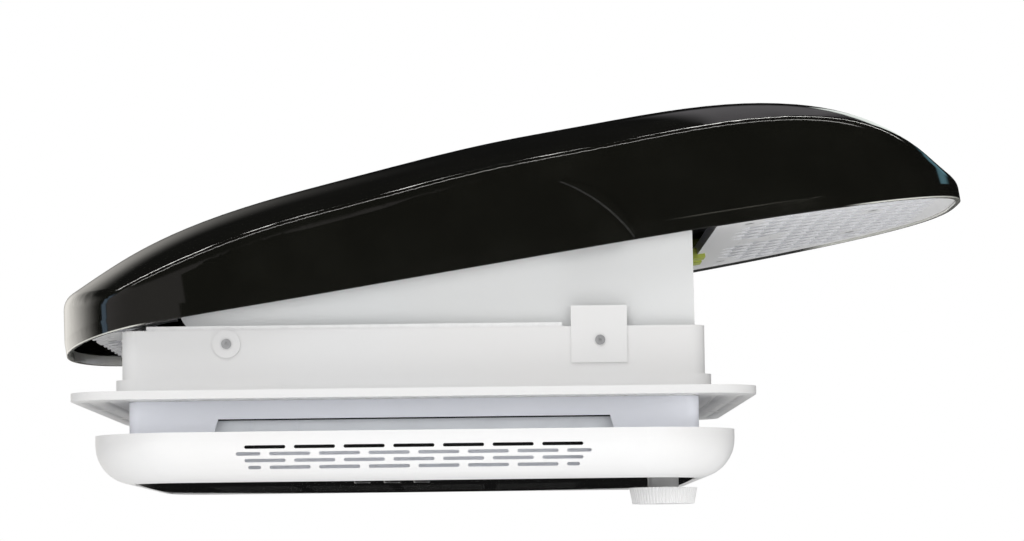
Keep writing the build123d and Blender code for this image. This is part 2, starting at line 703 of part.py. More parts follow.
def fan_nut():
    nut = extrude(Pos(FAN_X, 0, HUB_TOP) * RegularPolygon(SHAFT_RADIUS + BOSS_WALL, 6), NUT_HEIGHT)
    return nut - rod(SHAFT_RADIUS + PRESS_GAP, HUB_TOP - CUT, HUB_TOP + CUT, FAN_X)


def bracket_screws():
    return group([screw(x, y, MOTOR_TOP, BRACKET_THICK + BOSS_WALL * 3) for x, y in bracket_screw_places()])


def motor_screws():
    length = BRACKET_THICK - HEAD_HEIGHT + BUSH_LENGTH - HEAD_HEIGHT / 2
    return group([
        screw(x, y, RING_BOTTOM - HEAD_HEIGHT, length, up=False) for x, y in motor_screw_places()
    ])


def shroud_screws():
    head = HEAD_HEIGHT
    length = LEDGE_THICK + SHROUD_SCREW_BITE
    return group([screw(x, y, NECK_BOTTOM + head, length) for x, y in shroud_screw_places()])


# Insect screen


def screen_frame():
    ring = block(
        FAN_X - FRAME_HALF, FAN_X + FRAME_HALF, -FRAME_HALF, FRAME_HALF, PLATE_TOP, PLATE_TOP + FRAME_THICK
    )
    ring = ring - ledge_hole(INTAKE_HALF, PLATE_TOP - CUT, PLATE_TOP + FRAME_THICK + CUT)
    frame_top = PLATE_TOP + FRAME_THICK
    seat = ledge_hole(INTAKE_HALF + NET_WIRE, frame_top - NET_THICK, frame_top + CUT)
    return ring - seat


def insect_screen():
    """Flat net, one holed face made thick."""
    half = INTAKE_HALF + NET_WIRE - PRESS_GAP
    pitch = (2 * half - NET_WIRE) / NET_COUNT
    outline = Pos(FAN_X, 0) * Rectangle(2 * half, 2 * half)
    gap = Rectangle(pitch - NET_WIRE, pitch - NET_WIRE)
    holes = []
    for column in range(NET_COUNT):
        for row in range(NET_COUNT):
            x = FAN_X + (column - (NET_COUNT - 1) / 2) * pitch
            y = (row - (NET_COUNT - 1) / 2) * pitch
            holes.append((Pos(x, y) * gap).wire())
    face = Face(outline.wire(), holes)
    return Pos(0, 0, PLATE_TOP + FRAME_THICK - NET_THICK) * extrude(face, NET_THICK)


# Interior trim


def slot_row_spans(row):
    """Start and end of each slot of a row, cut off at the ends of the pattern."""
    offset = 0 if row % 2 == 0 else SLOT_PITCH / 2
    reach = SLOT_LAST_REACH if row == SLOT_ROWS - 1 else SLOT_REACH
    spans = []
    for index in range(-4, 5):
        middle = index * SLOT_PITCH + offset
        low = max(middle - SLOT_LENGTH / 2, -reach)
        high = min(middle + SLOT_LENGTH / 2, reach)
        if high - low > 2 * SLOT_HEIGHT:
            spans.append((low, high))
    return spans


def side_slots():
    """Slots through the two long sides, in staggered rows."""
    slots = []
    for row in range(SLOT_ROWS):
        z = SLOT_FIRST - row * SLOT_ROW
        for low, high in slot_row_spans(row):
            for side in (-1, 1):
                y = side * (TRIM_HALF - TRIM_ROUND - CUT)
                shape = SlotOverall(high - low, SLOT_HEIGHT)
                plane = Plane(origin=((low + high) / 2, y, z), x_dir=(1, 0, 0), z_dir=(0, side, 0))
                slots.append(extrude(plane * shape, TRIM_ROUND + 2 * CUT))
    return slots


def bottom_edges(shape, z):
    return shape.edges().filter_by(lambda edge: abs(edge.center().Z - z) < RUN_GAP)


def trim_bowl(inset, top, foot, round_radius):
    """The trim's outer form, or its hollow."""
    half = TRIM_HALF - inset
    bowl = plate(half, half, TRIM_CORNER - inset, foot, top)
    return fillet(bottom_edges(bowl, foot), round_radius)


def trim_inner_round():
    """Radius of the trim's hollow at its foot."""
    return TRIM_ROUND - TRIM_WALL - TRIM_PLATE


def trim_bezel():
    outer = trim_bowl(0, TRIM_TOP, TRIM_BOTTOM, TRIM_ROUND)
    hollow = trim_bowl(TRIM_WALL, TRIM_TOP + CUT, PLATE_TOP, trim_inner_round())
    half = PANEL_HALF + FIT_GAP
    seat = plate(half, half, PANEL_CORNER + FIT_GAP, TRIM_BOTTOM - CUT, PLATE_FOOT)
    cuts = [hollow, seat, ledge_hole(INTAKE_HALF, PLATE_FOOT - CUT, PLATE_TOP + CUT)]
    cuts.append(rod(STEM_RADIUS + FIT_GAP, TRIM_BOTTOM - CUT, PLATE_TOP + CUT, KNOB_X, KNOB_Y))
    for sx in (-1, 1):
        for sy in (-1, 1):
            x, y = sx * TRIM_SCREW_X, sy * TRIM_SCREW_Y
            cuts.append(rod(SCREW_RADIUS + PRESS_GAP, PLATE_FOOT - CUT, PLATE_TOP + CUT, x, y))
            cuts.append(rod(HEAD_RADIUS + FIT_GAP, PLATE_FOOT - CUT, PLATE_FOOT + HEAD_HEIGHT, x, y))
    for x in key_places():
        cuts.append(rod(KEY_RADIUS + FIT_GAP, TRIM_BOTTOM - CUT, PLATE_TOP + CUT, x, KEY_LINE))
    return outer - cuts - side_slots()


def trim_screws():
    length = TRIM_BOSS_TOP - BOSS_WALL * 2 - PLATE_FOOT
    return group([
        screw(sx * TRIM_SCREW_X, sy * TRIM_SCREW_Y, PLATE_FOOT + HEAD_HEIGHT, length)
        for sx in (-1, 1) for sy in (-1, 1)
    ])


def grille_slots():
    """Rows of long slots through which the fan draws the air."""
    slots = []
    column_pitch = GRILLE_SLOT + GRILLE_HEIGHT * 2
    for row in range(GRILLE_ROWS):
        y = (row - (GRILLE_ROWS - 1) / 2) * GRILLE_PITCH
        for column in range(GRILLE_COLUMNS):
            x = FAN_X + (column - (GRILLE_COLUMNS - 1) / 2) * column_pitch
            face = Pos(x, y, TRIM_BOTTOM - CUT) * SlotOverall(GRILLE_SLOT, GRILLE_HEIGHT)
            slots.append(extrude(face, PANEL_THICK + 2 * CUT))
    return slots


def trim_panel():
    """Gloss panel with a shallow crown, flush in the trim."""
    body = plate(PANEL_HALF, PANEL_HALF, PANEL_CORNER, TRIM_BOTTOM - PANEL_CROWN, PANEL_TOP)
    ball_radius = (PANEL_HALF ** 2 + PANEL_CROWN ** 2) / (2 * PANEL_CROWN)
    ball = Pos(0, 0, TRIM_BOTTOM - PANEL_CROWN + ball_radius) * Sphere(ball_radius)
    cuts = grille_slots() + [rod(STEM_RADIUS + FIT_GAP, TRIM_BOTTOM - CUT, PANEL_TOP + CUT, KNOB_X, KNOB_Y)]
    for x in key_places():
        cuts.append(rod(KEY_RADIUS + FIT_GAP, TRIM_BOTTOM - CUT, PANEL_TOP + CUT, x, KEY_LINE))
    return (body & ball) - cuts


# Keys


def key_places():
    return [(index - (KEY_COUNT - 1) / 2) * KEY_PITCH + FAN_X for index in range(KEY_COUNT)]


def key(index):
    """A key with a collar that rests on the trim's plate and a short plunger."""
    x = key_places()[index]
    low = PLATE_TOP + FIT_GAP
    cap = rod(KEY_RADIUS, KEY_Z, low + KEY_COLLAR, x, KEY_LINE)
    cap = fillet(bottom_edges(cap, KEY_Z), KEY_PROUD / 2)
    collar = rod(KEY_RADIUS + KEY_COLLAR, low, low + KEY_COLLAR, x, KEY_LINE)
    tip = BOARD_Z - SWITCH_HEIGHT - KEY_TRAVEL - FIT_GAP
    return cap + collar + rod(KEY_COLLAR, low, tip, x, KEY_LINE)


def board_posts():
    """Places of the posts that hold the board, on the ledge beside the keys."""
    reach = BOARD_LENGTH / 2 - SCREW_RADIUS - BOSS_WALL
    return [(FAN_X + side * reach, KEY_LINE) for side in (-1, 1)]


def control_board():
    board = block(
        FAN_X - BOARD_LENGTH / 2, FAN_X + BOARD_LENGTH / 2,
        KEY_LINE - BOARD_WIDTH / 2, KEY_LINE + BOARD_WIDTH / 2, BOARD_Z, BOARD_Z + BOARD_THICK,
    )
    holes = [rod(SCREW_RADIUS + PRESS_GAP, BOARD_Z - CUT, BOARD_Z + CUT, x, y) for x, y in board_posts()]
    return board - holes


def key_switches():
    half = SWITCH_SIDE / 2
    return group([
        block(x - half, x + half, KEY_LINE - half, KEY_LINE + half, BOARD_Z - SWITCH_HEIGHT, BOARD_Z)
        for x in key_places()
    ])


def board_screws():
    length = BOARD_THICK + BOSS_WALL
    return group([screw(x, y, BOARD_Z + BOARD_THICK, length, up=False) for x, y in board_posts()])


# Lift drive


def at_hinge(radius, angle):
    """Point at a radius and angle from the hinge axis, in X and Z."""
    return HINGE_X + radius * cos(angle), HINGE_Z + radius * sin(angle)


def gear(teeth, width, y, phase):
    """Spur gear on the cross shaft, one tooth pointing at the phase angle."""
    pitch_radius = GEAR_MODULE * teeth / 2
    base = pitch_radius * cos(PRESSURE_ANGLE)
    root = pitch_radius - DEDENDUM
    tip = pitch_radius + ADDENDUM
    start = max(base, root)
    roll = tan(PRESSURE_ANGLE) - PRESSURE_ANGLE
    half = (GEAR_PITCH - BACKLASH) / 4 / pitch_radius
    flank = [(root, half + roll)]
    for step in range(FLANK_STEPS + 1):
        radius = start + (tip - start) * step / FLANK_STEPS
        slope = acos(base / radius)
        flank.append((radius, half + roll - (tan(slope) - slope)))
    points = []
    for tooth in range(teeth):
        middle = phase + tooth * 2 * pi / teeth
        points += [(r, middle - a) for r, a in flank] + [(r, middle + a) for r, a in reversed(flank)]
    outline = [(CROSS_SHAFT_X + r * cos(a), CROSS_SHAFT_Z + r * sin(a)) for r, a in points]
    bore = rod_y(CROSS_SHAFT_RADIUS + PRESS_GAP, y - width, y + width, CROSS_SHAFT_X, CROSS_SHAFT_Z)
    return slab(outline, y - width / 2, y + width / 2) - bore


def rack_pinions():
    place = RACK_FACE - RACK_WIDTH / 2
    return group([gear(PINION_TEETH, PINION_WIDTH, side * place, DRIVE_ANGLE) for side in (-1, 1)])


def worm_wheel():
    return gear(WHEEL_TEETH, WHEEL_WIDTH, KNOB_Y, 0)


def rack_outline():
    """Curved rack about the hinge, teeth on the inner side, a gap at the pinion's tooth."""
    tip = RACK_RADIUS - ADDENDUM
    root = RACK_RADIUS + DEDENDUM
    half = (GEAR_PITCH - BACKLASH) / 4
    tip_half = (half - ADDENDUM * tan(PRESSURE_ANGLE)) / tip
    root_half = (half + DEDENDUM * tan(PRESSURE_ANGLE)) / root
    inner = []
    for index in range(-RACK_TEETH_BELOW, RACK_TEETH_ABOVE):
        middle = DRIVE_ANGLE + (index + 1 / 2) * RACK_STEP
        inner += [at_hinge(root, middle - root_half), at_hinge(tip, middle - tip_half)]
        inner += [at_hinge(tip, middle + tip_half), at_hinge(root, middle + root_half)]
    low = DRIVE_ANGLE - RACK_TEETH_BELOW * RACK_STEP
    high = rack_top_angle()
    back = root + RACK_BACK
    last = RACK_TEETH_ABOVE - 1
    outer = [at_hinge(back, high + (low - high) * step / last) for step in range(RACK_TEETH_ABOVE)]
    return [at_hinge(root, low)] + inner + [at_hinge(root, high)] + outer


def rack_top_angle():
    """The racks end just over the liner's face."""
    return asin(LINER_FACE / RACK_RADIUS) + radians(OPEN_ANGLE)


def rack_screw_places():
    """Middles of the rack's screws, on its back above the teeth."""
    radius = RACK_RADIUS + DEDENDUM + RACK_BACK / 2
    step = HEAD_RADIUS * 2 / RACK_RADIUS
    return [at_hinge(radius, rack_top_angle() - count * step) for count in (1, 3)]


def lift_rack(side):
    y0, y1 = sorted((side * RACK_FACE, side * (RACK_FACE - RACK_WIDTH)))
    h0, h1 = sorted((side * (RACK_FACE - RACK_WIDTH / 2), side * (RACK_FACE + CUT)))
    holes = [rod_y(SCREW_RADIUS + PRESS_GAP, h0, h1, x, z) for x, z in rack_screw_places()]
    return slab(rack_outline(), y0, y1) - holes


def rack_screws():
    """Flush screws through the wings into the racks."""
    pieces = []
    for side in (-1, 1):
        y0, y1 = sorted((side * (RACK_FACE - RACK_WIDTH / 2 + RUN_GAP), side * WING_FACE))
        pieces += [rod_y(SCREW_RADIUS, y0, y1, x, z) for x, z in rack_screw_places()]
    return group(pieces)


def cross_shaft():
    end = RACK_FACE - FIT_GAP
    return rod_y(CROSS_SHAFT_RADIUS, -end, end, CROSS_SHAFT_X, CROSS_SHAFT_Z)


def shaft_posts():
    """Two posts on the neck's ledge with the shaft's bearings in their tops."""
    posts = []
    for side in (-1, 1):
        y0, y1 = sorted((side * POST_PLACE, side * (POST_PLACE + POST_THICK)))
        x0, x1 = CROSS_SHAFT_X - POST_X_HALF, CROSS_SHAFT_X + POST_X_HALF
        post = block(x0, x1, y0, y1, LEDGE_TOP, CROSS_SHAFT_Z)
        eye = rod_y(POST_X_HALF, y0, y1, CROSS_SHAFT_X, CROSS_SHAFT_Z)
        bore = rod_y(CROSS_SHAFT_RADIUS + RUN_GAP, y0 - CUT, y1 + CUT, CROSS_SHAFT_X, CROSS_SHAFT_Z)
        posts.append(post + eye - bore)
    return group(posts)


def worm():
    """Single thread wound on a sleeve of the knob's shaft, in mesh with the wheel."""
    height = WORM_TURNS * GEAR_PITCH
    z0 = CROSS_SHAFT_Z - height / 2
    core_radius = WORM_RADIUS - DEDENDUM
    tip_radius = WORM_RADIUS + ADDENDUM
    half = (GEAR_PITCH - BACKLASH) / 4
    tip_half = half - ADDENDUM * tan(PRESSURE_ANGLE)
    root_half = half + DEDENDUM * tan(PRESSURE_ANGLE)
    sunk = core_radius - 2 * RUN_GAP
    helix = Helix(pitch=GEAR_PITCH, height=height, radius=core_radius)
    corners = [(sunk, -root_half), (tip_radius, -tip_half), (tip_radius, tip_half), (sunk, root_half)]
    section = make_face(Polyline([(r, 0, z) for r, z in corners], close=True))
    thread = sweep(section, path=helix, is_frenet=True)
    core = rod(core_radius, -GEAR_PITCH / 4, height + GEAR_PITCH / 4)
    body = Pos(KNOB_X, KNOB_Y, z0) * (core + thread)
    bore = rod(
        KNOB_SHAFT_RADIUS + PRESS_GAP, z0 - 2 * GEAR_PITCH, z0 + height + 2 * GEAR_PITCH, KNOB_X, KNOB_Y
    )
    return body - bore


def knob_shaft():
    return rod(KNOB_SHAFT_RADIUS, KNOB_BOTTOM + KNOB_HEIGHT / 2, CASE_TOP + COVER_THICK / 2, KNOB_X, KNOB_Y)


def knob():
    """Ribbed disc that narrows downwards, with the stem that goes up into the trim."""
    lean = atan2(KNOB_RADIUS - KNOB_FOOT_RADIUS, KNOB_HEIGHT)
    foot = Pos(KNOB_X, KNOB_Y, KNOB_BOTTOM)
    disc = foot * Pos(0, 0, KNOB_HEIGHT / 2) * Cone(KNOB_FOOT_RADIUS, KNOB_RADIUS, KNOB_HEIGHT)
    grooves = []
    for index in range(KNOB_RIBS):
        turn = Rot(0, 0, index * 360 / KNOB_RIBS)
        middle = (KNOB_RADIUS + KNOB_FOOT_RADIUS) / 2 + KNOB_RIB_RADIUS / 2
        groove = Pos(middle, 0, KNOB_HEIGHT / 2) * Rot(0, degrees(lean), 0)
        grooves.append(foot * turn * groove * Cylinder(KNOB_RIB_RADIUS, 2 * KNOB_HEIGHT))
    stem = rod(STEM_RADIUS, KNOB_TOP, PLATE_TOP, KNOB_X, KNOB_Y)
    bore = rod(KNOB_SHAFT_RADIUS + PRESS_GAP, KNOB_BOTTOM + KNOB_HEIGHT / 2, CUT, KNOB_X, KNOB_Y)
    return disc - grooves + stem - bore


def gearbox_case():
    """Column on the ledge round the worm and its wheel, open at the top."""
    left, right = CROSS_SHAFT_X - CASE_FRONT, KNOB_X + CASE_FRONT
    y0, y1 = KNOB_Y - CASE_FRONT, KNOB_Y + CASE_FRONT
    low = SHROUD_RIGHT + FIT_GAP
    body = block(left, right, y0, y1, CASE_STEP - CASE_WALL, CASE_TOP)
    body = body + block(low, right, y0, y1, LEDGE_TOP, CASE_STEP)
    room = block(
        left + CASE_WALL, right - CASE_WALL, y0 + CASE_WALL, y1 - CASE_WALL, CASE_STEP, CASE_TOP + CUT
    )
    shaft_room = block(
        low + CASE_WALL, right - CASE_WALL, y0 + CASE_WALL, y1 - CASE_WALL,
        LEDGE_TOP + CASE_WALL, CASE_STEP + CUT,
    )
    bore = rod(KNOB_SHAFT_RADIUS + RUN_GAP, LEDGE_TOP - CUT, LEDGE_TOP + CASE_WALL + CUT, KNOB_X, KNOB_Y)
    across = rod_y(CROSS_SHAFT_RADIUS + RUN_GAP, y0 - CUT, y1 + CUT, CROSS_SHAFT_X, CROSS_SHAFT_Z)
    return body - room - shaft_room - bore - across


def gearbox_cover():
    left, right = CROSS_SHAFT_X - CASE_FRONT, KNOB_X + CASE_FRONT
    y0, y1 = KNOB_Y - CASE_FRONT, KNOB_Y + CASE_FRONT
    lid = block(left, right, y0, y1, CASE_TOP, CASE_TOP + COVER_THICK)
    return lid - rod(KNOB_SHAFT_RADIUS + RUN_GAP, CASE_TOP - CUT, CASE_TOP + CUT, KNOB_X, KNOB_Y)


# Lid


def half_width(u, inset):
    """Half width of the rim's outline at a place along the lid."""
    length = LID_LENGTH / 2 - inset
    reach, power = (TAIL_REACH, TAIL_POWER) if u > 0 else (NOSE_REACH, NOSE_POWER)
    part = min(1, max(0, (abs(u) - length + reach - inset) / (reach - inset)))
    return (LID_WIDTH / 2 - inset) * (1 - part ** power) ** (1 / power)


def rim_outline(inset):
    """The rim's outline: straight sides, a full nose and a long rounded tail."""
    length = LID_LENGTH / 2 - inset
    nose, tail = NOSE_REACH - inset, TAIL_REACH - inset
    half = LID_WIDTH / 2 - inset
    points = []
    for step in range(END_STEPS):
        turn = radians(90) * (1 - step / END_STEPS)
        u = length - tail + tail * sin(turn) ** (2 / TAIL_POWER)
        points.append((u, half * cos(turn) ** (2 / TAIL_POWER)))
    for step in range(STRAIGHT_STEPS):
        u = (length - tail) + (nose + tail - 2 * length) * step / STRAIGHT_STEPS
        points.append((u, half))
    for step in range(END_STEPS + 1):
        turn = radians(90) * step / END_STEPS
        u = nose - length - nose * sin(turn) ** (2 / NOSE_POWER)
        points.append((u, half * cos(turn) ** (2 / NOSE_POWER)))
    points = [(length, 0)] + points[1:-1] + [(-length, 0)]
    return points + [(u, -y) for u, y in reversed(points[1:-1])]


def rim_face(inset, z):
    points = [Vector(LID_X + u, y, z) for u, y in rim_outline(inset)]
    return make_face(Spline(points, periodic=True))


def drafted_wall(inset, foot):
    """The space inside the lid's walls: upright at the rim, then leaning in all round."""
    break_z = HINGE_Z + DRAFT_FOOT
    lean = LID_HEIGHT * tan(radians(LID_DRAFT))
    upright = extrude(rim_face(inset, foot), break_z - foot)
    return upright + loft([rim_face(inset, break_z), rim_face(inset + lean, break_z + LID_HEIGHT)], ruled=True)


def lid_form(inset, foot):
    """The lid's solid form: the rim's outline under a crown that is round across and along."""
    axis_z = HINGE_Z + LID_HEIGHT - CROWN_RADIUS
    low = HINGE_Z - LID_HEIGHT / 2
    crown = [Vector(LID_X + u * LID_LENGTH, 0, HINGE_Z + h * LID_HEIGHT - inset) for u, h in CROWN_SHARES]
    first, last = crown[0], crown[-1]
    base = Polyline([last, Vector(last.X, 0, low), Vector(first.X, 0, low), first])
    face = make_face([Spline(crown), base])
    axis = Axis((0, 0, axis_z), (1, 0, 0))
    spread = 3 * degrees(asin(LID_WIDTH / 2 / CROWN_RADIUS))
    crowned = revolve(face.rotate(axis, -spread / 2), axis, spread)
    form = crowned & drafted_wall(inset, foot)
    top = max(form.faces(), key=lambda face: face.center().Z)
    return fillet(top.edges(), SHOULDER - inset)


def liner_screw_places():
    """Screws up through the liner into the lid: two in the nose, four in the tail."""
    nose_x = HINGE_X - NOSE_SCREW_REACH
    tail_x = LINER_OPEN_RIGHT + TAIL_SCREW_INSET
    nose = [(nose_x, side * NOSE_SCREW_PLACE) for side in (-1, 1)]
    tail = [(tail_x, side * TAIL_SCREW_FAR) for side in (-1, 1)]
    return nose + tail + [(tail_x + TAIL_SCREW_STEP, side * TAIL_SCREW_NEAR) for side in (-1, 1)]


def liner_opening():
    wide, narrow = LINER_OPEN_WIDE / 2, LINER_OPEN_NARROW / 2
    upper = [
        (LINER_OPEN_RIGHT, wide), (LINER_OPEN_STEP, wide),
        (LINER_OPEN_STEP, narrow), (LINER_OPEN_LEFT, narrow),
    ]
    return upper + [(x, -y) for x, y in reversed(upper)]


def in_waffle(x, y):
    """Whether a recess of the waffle fits here, clear of the rim, the opening and the screws."""
    inset = LID_WALL + FIT_GAP
    u = x - LID_X
    reach = WAFFLE_RIM + WAFFLE_SIDE / 2
    ends = LID_LENGTH / 2 - inset - reach
    if abs(u) > ends or abs(y) > half_width(u, inset) - reach or half_width(u, inset) == 0:
        return False
    beside = LINER_OPEN_LEFT - reach / 2 < x < LINER_OPEN_RIGHT + reach
    beside = beside or (0 < x < RIB_END and abs(y) < RIB_HALF)
    if beside or any(hypot(x - sx, y - sy) < WAFFLE_SIDE for sx, sy in liner_screw_places()):
        return False
    return x > 0 or x < HINGE_X - HINGE_FOOT_REACH or abs(abs(y) - HINGE_PLACE) > HINGE_FOOT_REACH + WAFFLE_SIDE


def waffle_places():
    places = []
    columns = int(LID_LENGTH / WAFFLE_PITCH * 2)
    rows = int(LID_WIDTH / WAFFLE_PITCH * 2)
    for column in range(-columns, columns + 1):
        for row in range(-rows, rows + 1):
            x, y = LID_X + column * WAFFLE_PITCH / 2, row * WAFFLE_PITCH / 2
            if (column + row) % 2 == 0 and in_waffle(x, y):
                places.append((x, y))
    return places


def lid_liner():
    """White panel under the lid: a waffle below, a closed skin above, open over the base."""
    low = HINGE_Z + LINER_FACE
    middle = low + WAFFLE_DEPTH
    high = HINGE_Z + LINER_TOP
    inset = LID_WALL + FIT_GAP
    outline = rim_face(inset, 0).wire()
    opening = Polyline(liner_opening(), close=True).wire()
    recesses = [diamond(x, y, WAFFLE_SIDE).wire() for x, y in waffle_places()]
    waffle = Pos(0, 0, low) * extrude(Face(outline, [opening] + recesses), middle - low)
    skin = Pos(0, 0, middle) * extrude(Face(outline, [opening]), high - middle)
    half = LID_WIDTH / 2
    cuts = [block(HINGE_X - LID_OVERHANG - CUT, LINER_NOSE, -half, half, low - CUT, high + CUT)]
    for side in (-1, 1):
        ear = BARREL_LENGTH / 2 + EAR_THICK + 2 * FIT_GAP + HEAD_HEIGHT
        middle_y = side * HINGE_PLACE
        cuts.append(block(
            HINGE_X - HINGE_BARREL - TAB_GAP, LINER_OPEN_LEFT + CUT,
            middle_y - ear, middle_y + ear, low - CUT, high + CUT,
        ))
        cuts.append(tab_notch(side))
    for x, y in liner_screw_places():
        cuts.append(rod(SCREW_RADIUS + PRESS_GAP, low - CUT, high + CUT, x, y))
        cuts.append(rod(HEAD_RADIUS + FIT_GAP, low - CUT, low + HEAD_HEIGHT, x, y))
    for x, y in wing_screw_places() + hinge_screw_places():
        cuts.append(rod(SCREW_RADIUS + PRESS_GAP, low - CUT, high + CUT, x, y))
    cuts += [rod(PILOT_RADIUS, low - CUT, high + CUT, x, 0) for x in PILOT_PLACES]
    return opened((waffle + skin) - cuts)


def tab_notch(side):
    """Room in the lid's inner pieces for the tall pad of the base."""
    y0, y1 = sorted((side * (BASE_INNER - TAB_GAP), side * (BASE_HALF + PAD_PROUD + TAB_GAP)))
    return block(PAD_LEFT - TAB_GAP, PAD_RIGHT + TAB_GAP, y0, y1, HINGE_Z - CUT, PAD_TOP + 2 * CUT)


def liner_screws():
    length = WAFFLE_DEPTH + LINER_SKIN - HEAD_HEIGHT + BOSS_WALL * 2
    return group([
        opened(screw(x, y, HINGE_Z + LINER_FACE + HEAD_HEIGHT, length)) for x, y in liner_screw_places()
    ])


def lid_shell():
    """Gloss outer shell with the bosses for the liner's screws and a fin on each side."""
    bosses = [
        rod(SCREW_RADIUS + BOSS_WALL, HINGE_Z + LINER_TOP, HINGE_Z + 2 * LID_HEIGHT, x, y)
        for x, y in liner_screw_places()
    ]
    hollow = lid_form(LID_WALL, HINGE_Z - CUT) - bosses
    holes = [
        rod(SCREW_RADIUS + PRESS_GAP, HINGE_Z, HINGE_Z + LINER_TOP + BOSS_WALL * 3, x, y)
        for x, y in liner_screw_places()
    ]
    return opened((lid_form(0, HINGE_Z) + side_fins()) - hollow - holes)


def side_fins():
    """Curved fins on the sides, where the lid's air scoop begins."""
    low, high = HINGE_Z + FIN_FOOT, HINGE_Z + FIN_FOOT + FIN_RISE
    start, end = Vector(FIN_TAIL, 0, low), Vector(FIN_HEAD, 0, high)
    middle = (start + end) * 0.5
    outer = ThreePointArc(start, middle + Vector(FIN_BULGE, 0, FIN_BULGE), end)
    inner = ThreePointArc(end, middle + Vector(FIN_BULGE - FIN_WIDTH, 0, FIN_BULGE - FIN_WIDTH), start)
    face = make_face([outer, inner])
    fins = []
    for side in (-1, 1):
        edge = side * half_width(FIN_TAIL - LID_X, 0)
        fin = extrude(Pos(0, edge - side * LID_WALL / 2, 0) * face, LID_WALL / 2 + FIN_PROUD, dir=(0, side, 0))
        fins.append(fin.rotate(Axis((0, edge, HINGE_Z + DRAFT_FOOT), (1, 0, 0)), side * LID_DRAFT))
    return fins


def closed_point(x, z):
    """Where a point of the drawn opening lies in the closed lid."""
    turn = radians(OPEN_ANGLE)
    dx, dz = x - HINGE_X, z - HINGE_Z
    return HINGE_X + dx * cos(turn) + dz * sin(turn), HINGE_Z + dz * cos(turn) - dx * sin(turn)


def wing(side):
    """Side panel that rises with the lid and closes the gap over the base."""
    foot = BASE_HEIGHT - WING_OVERLAP
    top = LINER_TOP + WING_THICK
    back_top = HINGE_X + (WING_BACK_TOP - HINGE_X + top * sin(radians(OPEN_ANGLE))) / cos(radians(OPEN_ANGLE))
    outline = [
        closed_point(WING_FRONT, foot), closed_point(WING_BACK, foot),
        (back_top, HINGE_Z + top), (WING_FRONT, HINGE_Z + top),
    ]
    y0, y1 = sorted((side * WING_INNER, side * WING_FACE))
    panel = slab(outline, y0, y1)
    corner = min(panel.edges().filter_by(Axis.Y), key=lambda edge: edge.center().Z + edge.center().X)
    panel = fillet(corner, WING_CORNER)
    f0, f1 = sorted((side * WING_INNER, side * (WING_FACE + WING_FLANGE)))
    flange = block(WING_FRONT + WING_CORNER, back_top, f0, f1, HINGE_Z + LINER_TOP, HINGE_Z + top)
    holes = [
        rod(SCREW_RADIUS + PRESS_GAP, HINGE_Z, HINGE_Z + 2 * top, x, y) for x, y in wing_screw_places()
    ]
    body = opened(panel + flange - tab_notch(side) - holes)
    cuts = [
        rod_y(SCREW_RADIUS + PRESS_GAP, y0 - CUT, y1 + CUT, x, z) for x, z in rack_screw_places()
    ]
    return body - cuts


def wing_screw_places():
    y = WING_FACE + WING_FLANGE / 2 + FIT_GAP
    return [(x, side * y) for x in (-WING_SCREW_REACH, 0, WING_SCREW_REACH * 2) for side in (-1, 1)]


def wing_screws():
    z = HINGE_Z + LINER_TOP + WING_THICK
    length = WING_THICK + LINER_SKIN + WAFFLE_DEPTH / 2
    return group([opened(screw(x, y, z, length, up=False)) for x, y in wing_screw_places()])


def lid_hinges():
    """Leaves of the lid, each a barrel between the ears and a foot on the liner."""
    leaves = []
    for side in (-1, 1):
        y0 = side * HINGE_PLACE - BARREL_LENGTH / 2
        y1 = side * HINGE_PLACE + BARREL_LENGTH / 2
        barrel = rod_y(HINGE_BARREL, y0, y1, HINGE_X, HINGE_Z)
        top = HINGE_Z + LINER_TOP
        web = block(HINGE_X - HINGE_BARREL / 2, HINGE_X + HINGE_BARREL / 2, y0, y1, HINGE_Z, top)
        foot = block(
            HINGE_X - HINGE_FOOT_REACH, HINGE_X + HINGE_BARREL, y0, y1, top, top + HINGE_FOOT_THICK
        )
        bore = rod_y(HINGE_PIN + RUN_GAP, y0 - CUT, y1 + CUT, HINGE_X, HINGE_Z)
        holes = [rod(SCREW_RADIUS + PRESS_GAP, HINGE_Z, top + CUT, x, y) for x, y in hinge_screw_places()]
        leaves.append(opened(barrel + web + foot - bore - holes))
    return group(leaves)


def hinge_screw_places():
    x = HINGE_X - HINGE_FOOT_REACH + HEAD_RADIUS + HEAD_HEIGHT
    step = BARREL_LENGTH / 4
    return [(x, side * HINGE_PLACE + end * step) for side in (-1, 1) for end in (-1, 1)]


def hinge_screws():
    z = HINGE_Z + LINER_TOP + HINGE_FOOT_THICK
    length = HINGE_FOOT_THICK + LINER_SKIN + WAFFLE_DEPTH / 2
    return group([opened(screw(x, y, z, length, up=False)) for x, y in hinge_screw_places()])


def lid_buffers():
    """Soft stops on the liner's edge that meet the wall of the base when the lid shuts."""
    pieces = []
    low = BASE_HEIGHT + FIT_GAP
    for y in BUFFER_PLACES:
        y0, y1 = y - BUFFER_LENGTH / 2, y + BUFFER_LENGTH / 2
        pad = block(BASE_INNER + FIT_GAP, LINER_OPEN_RIGHT, y0, y1, low, HINGE_Z + LINER_TOP - LINER_SKIN)
        lip = block(LINER_OPEN_RIGHT, LINER_OPEN_RIGHT + BUFFER_LIP, y0, y1, low, HINGE_Z + LINER_FACE)
        pieces.append(opened(pad + lip))
    return group(pieces)


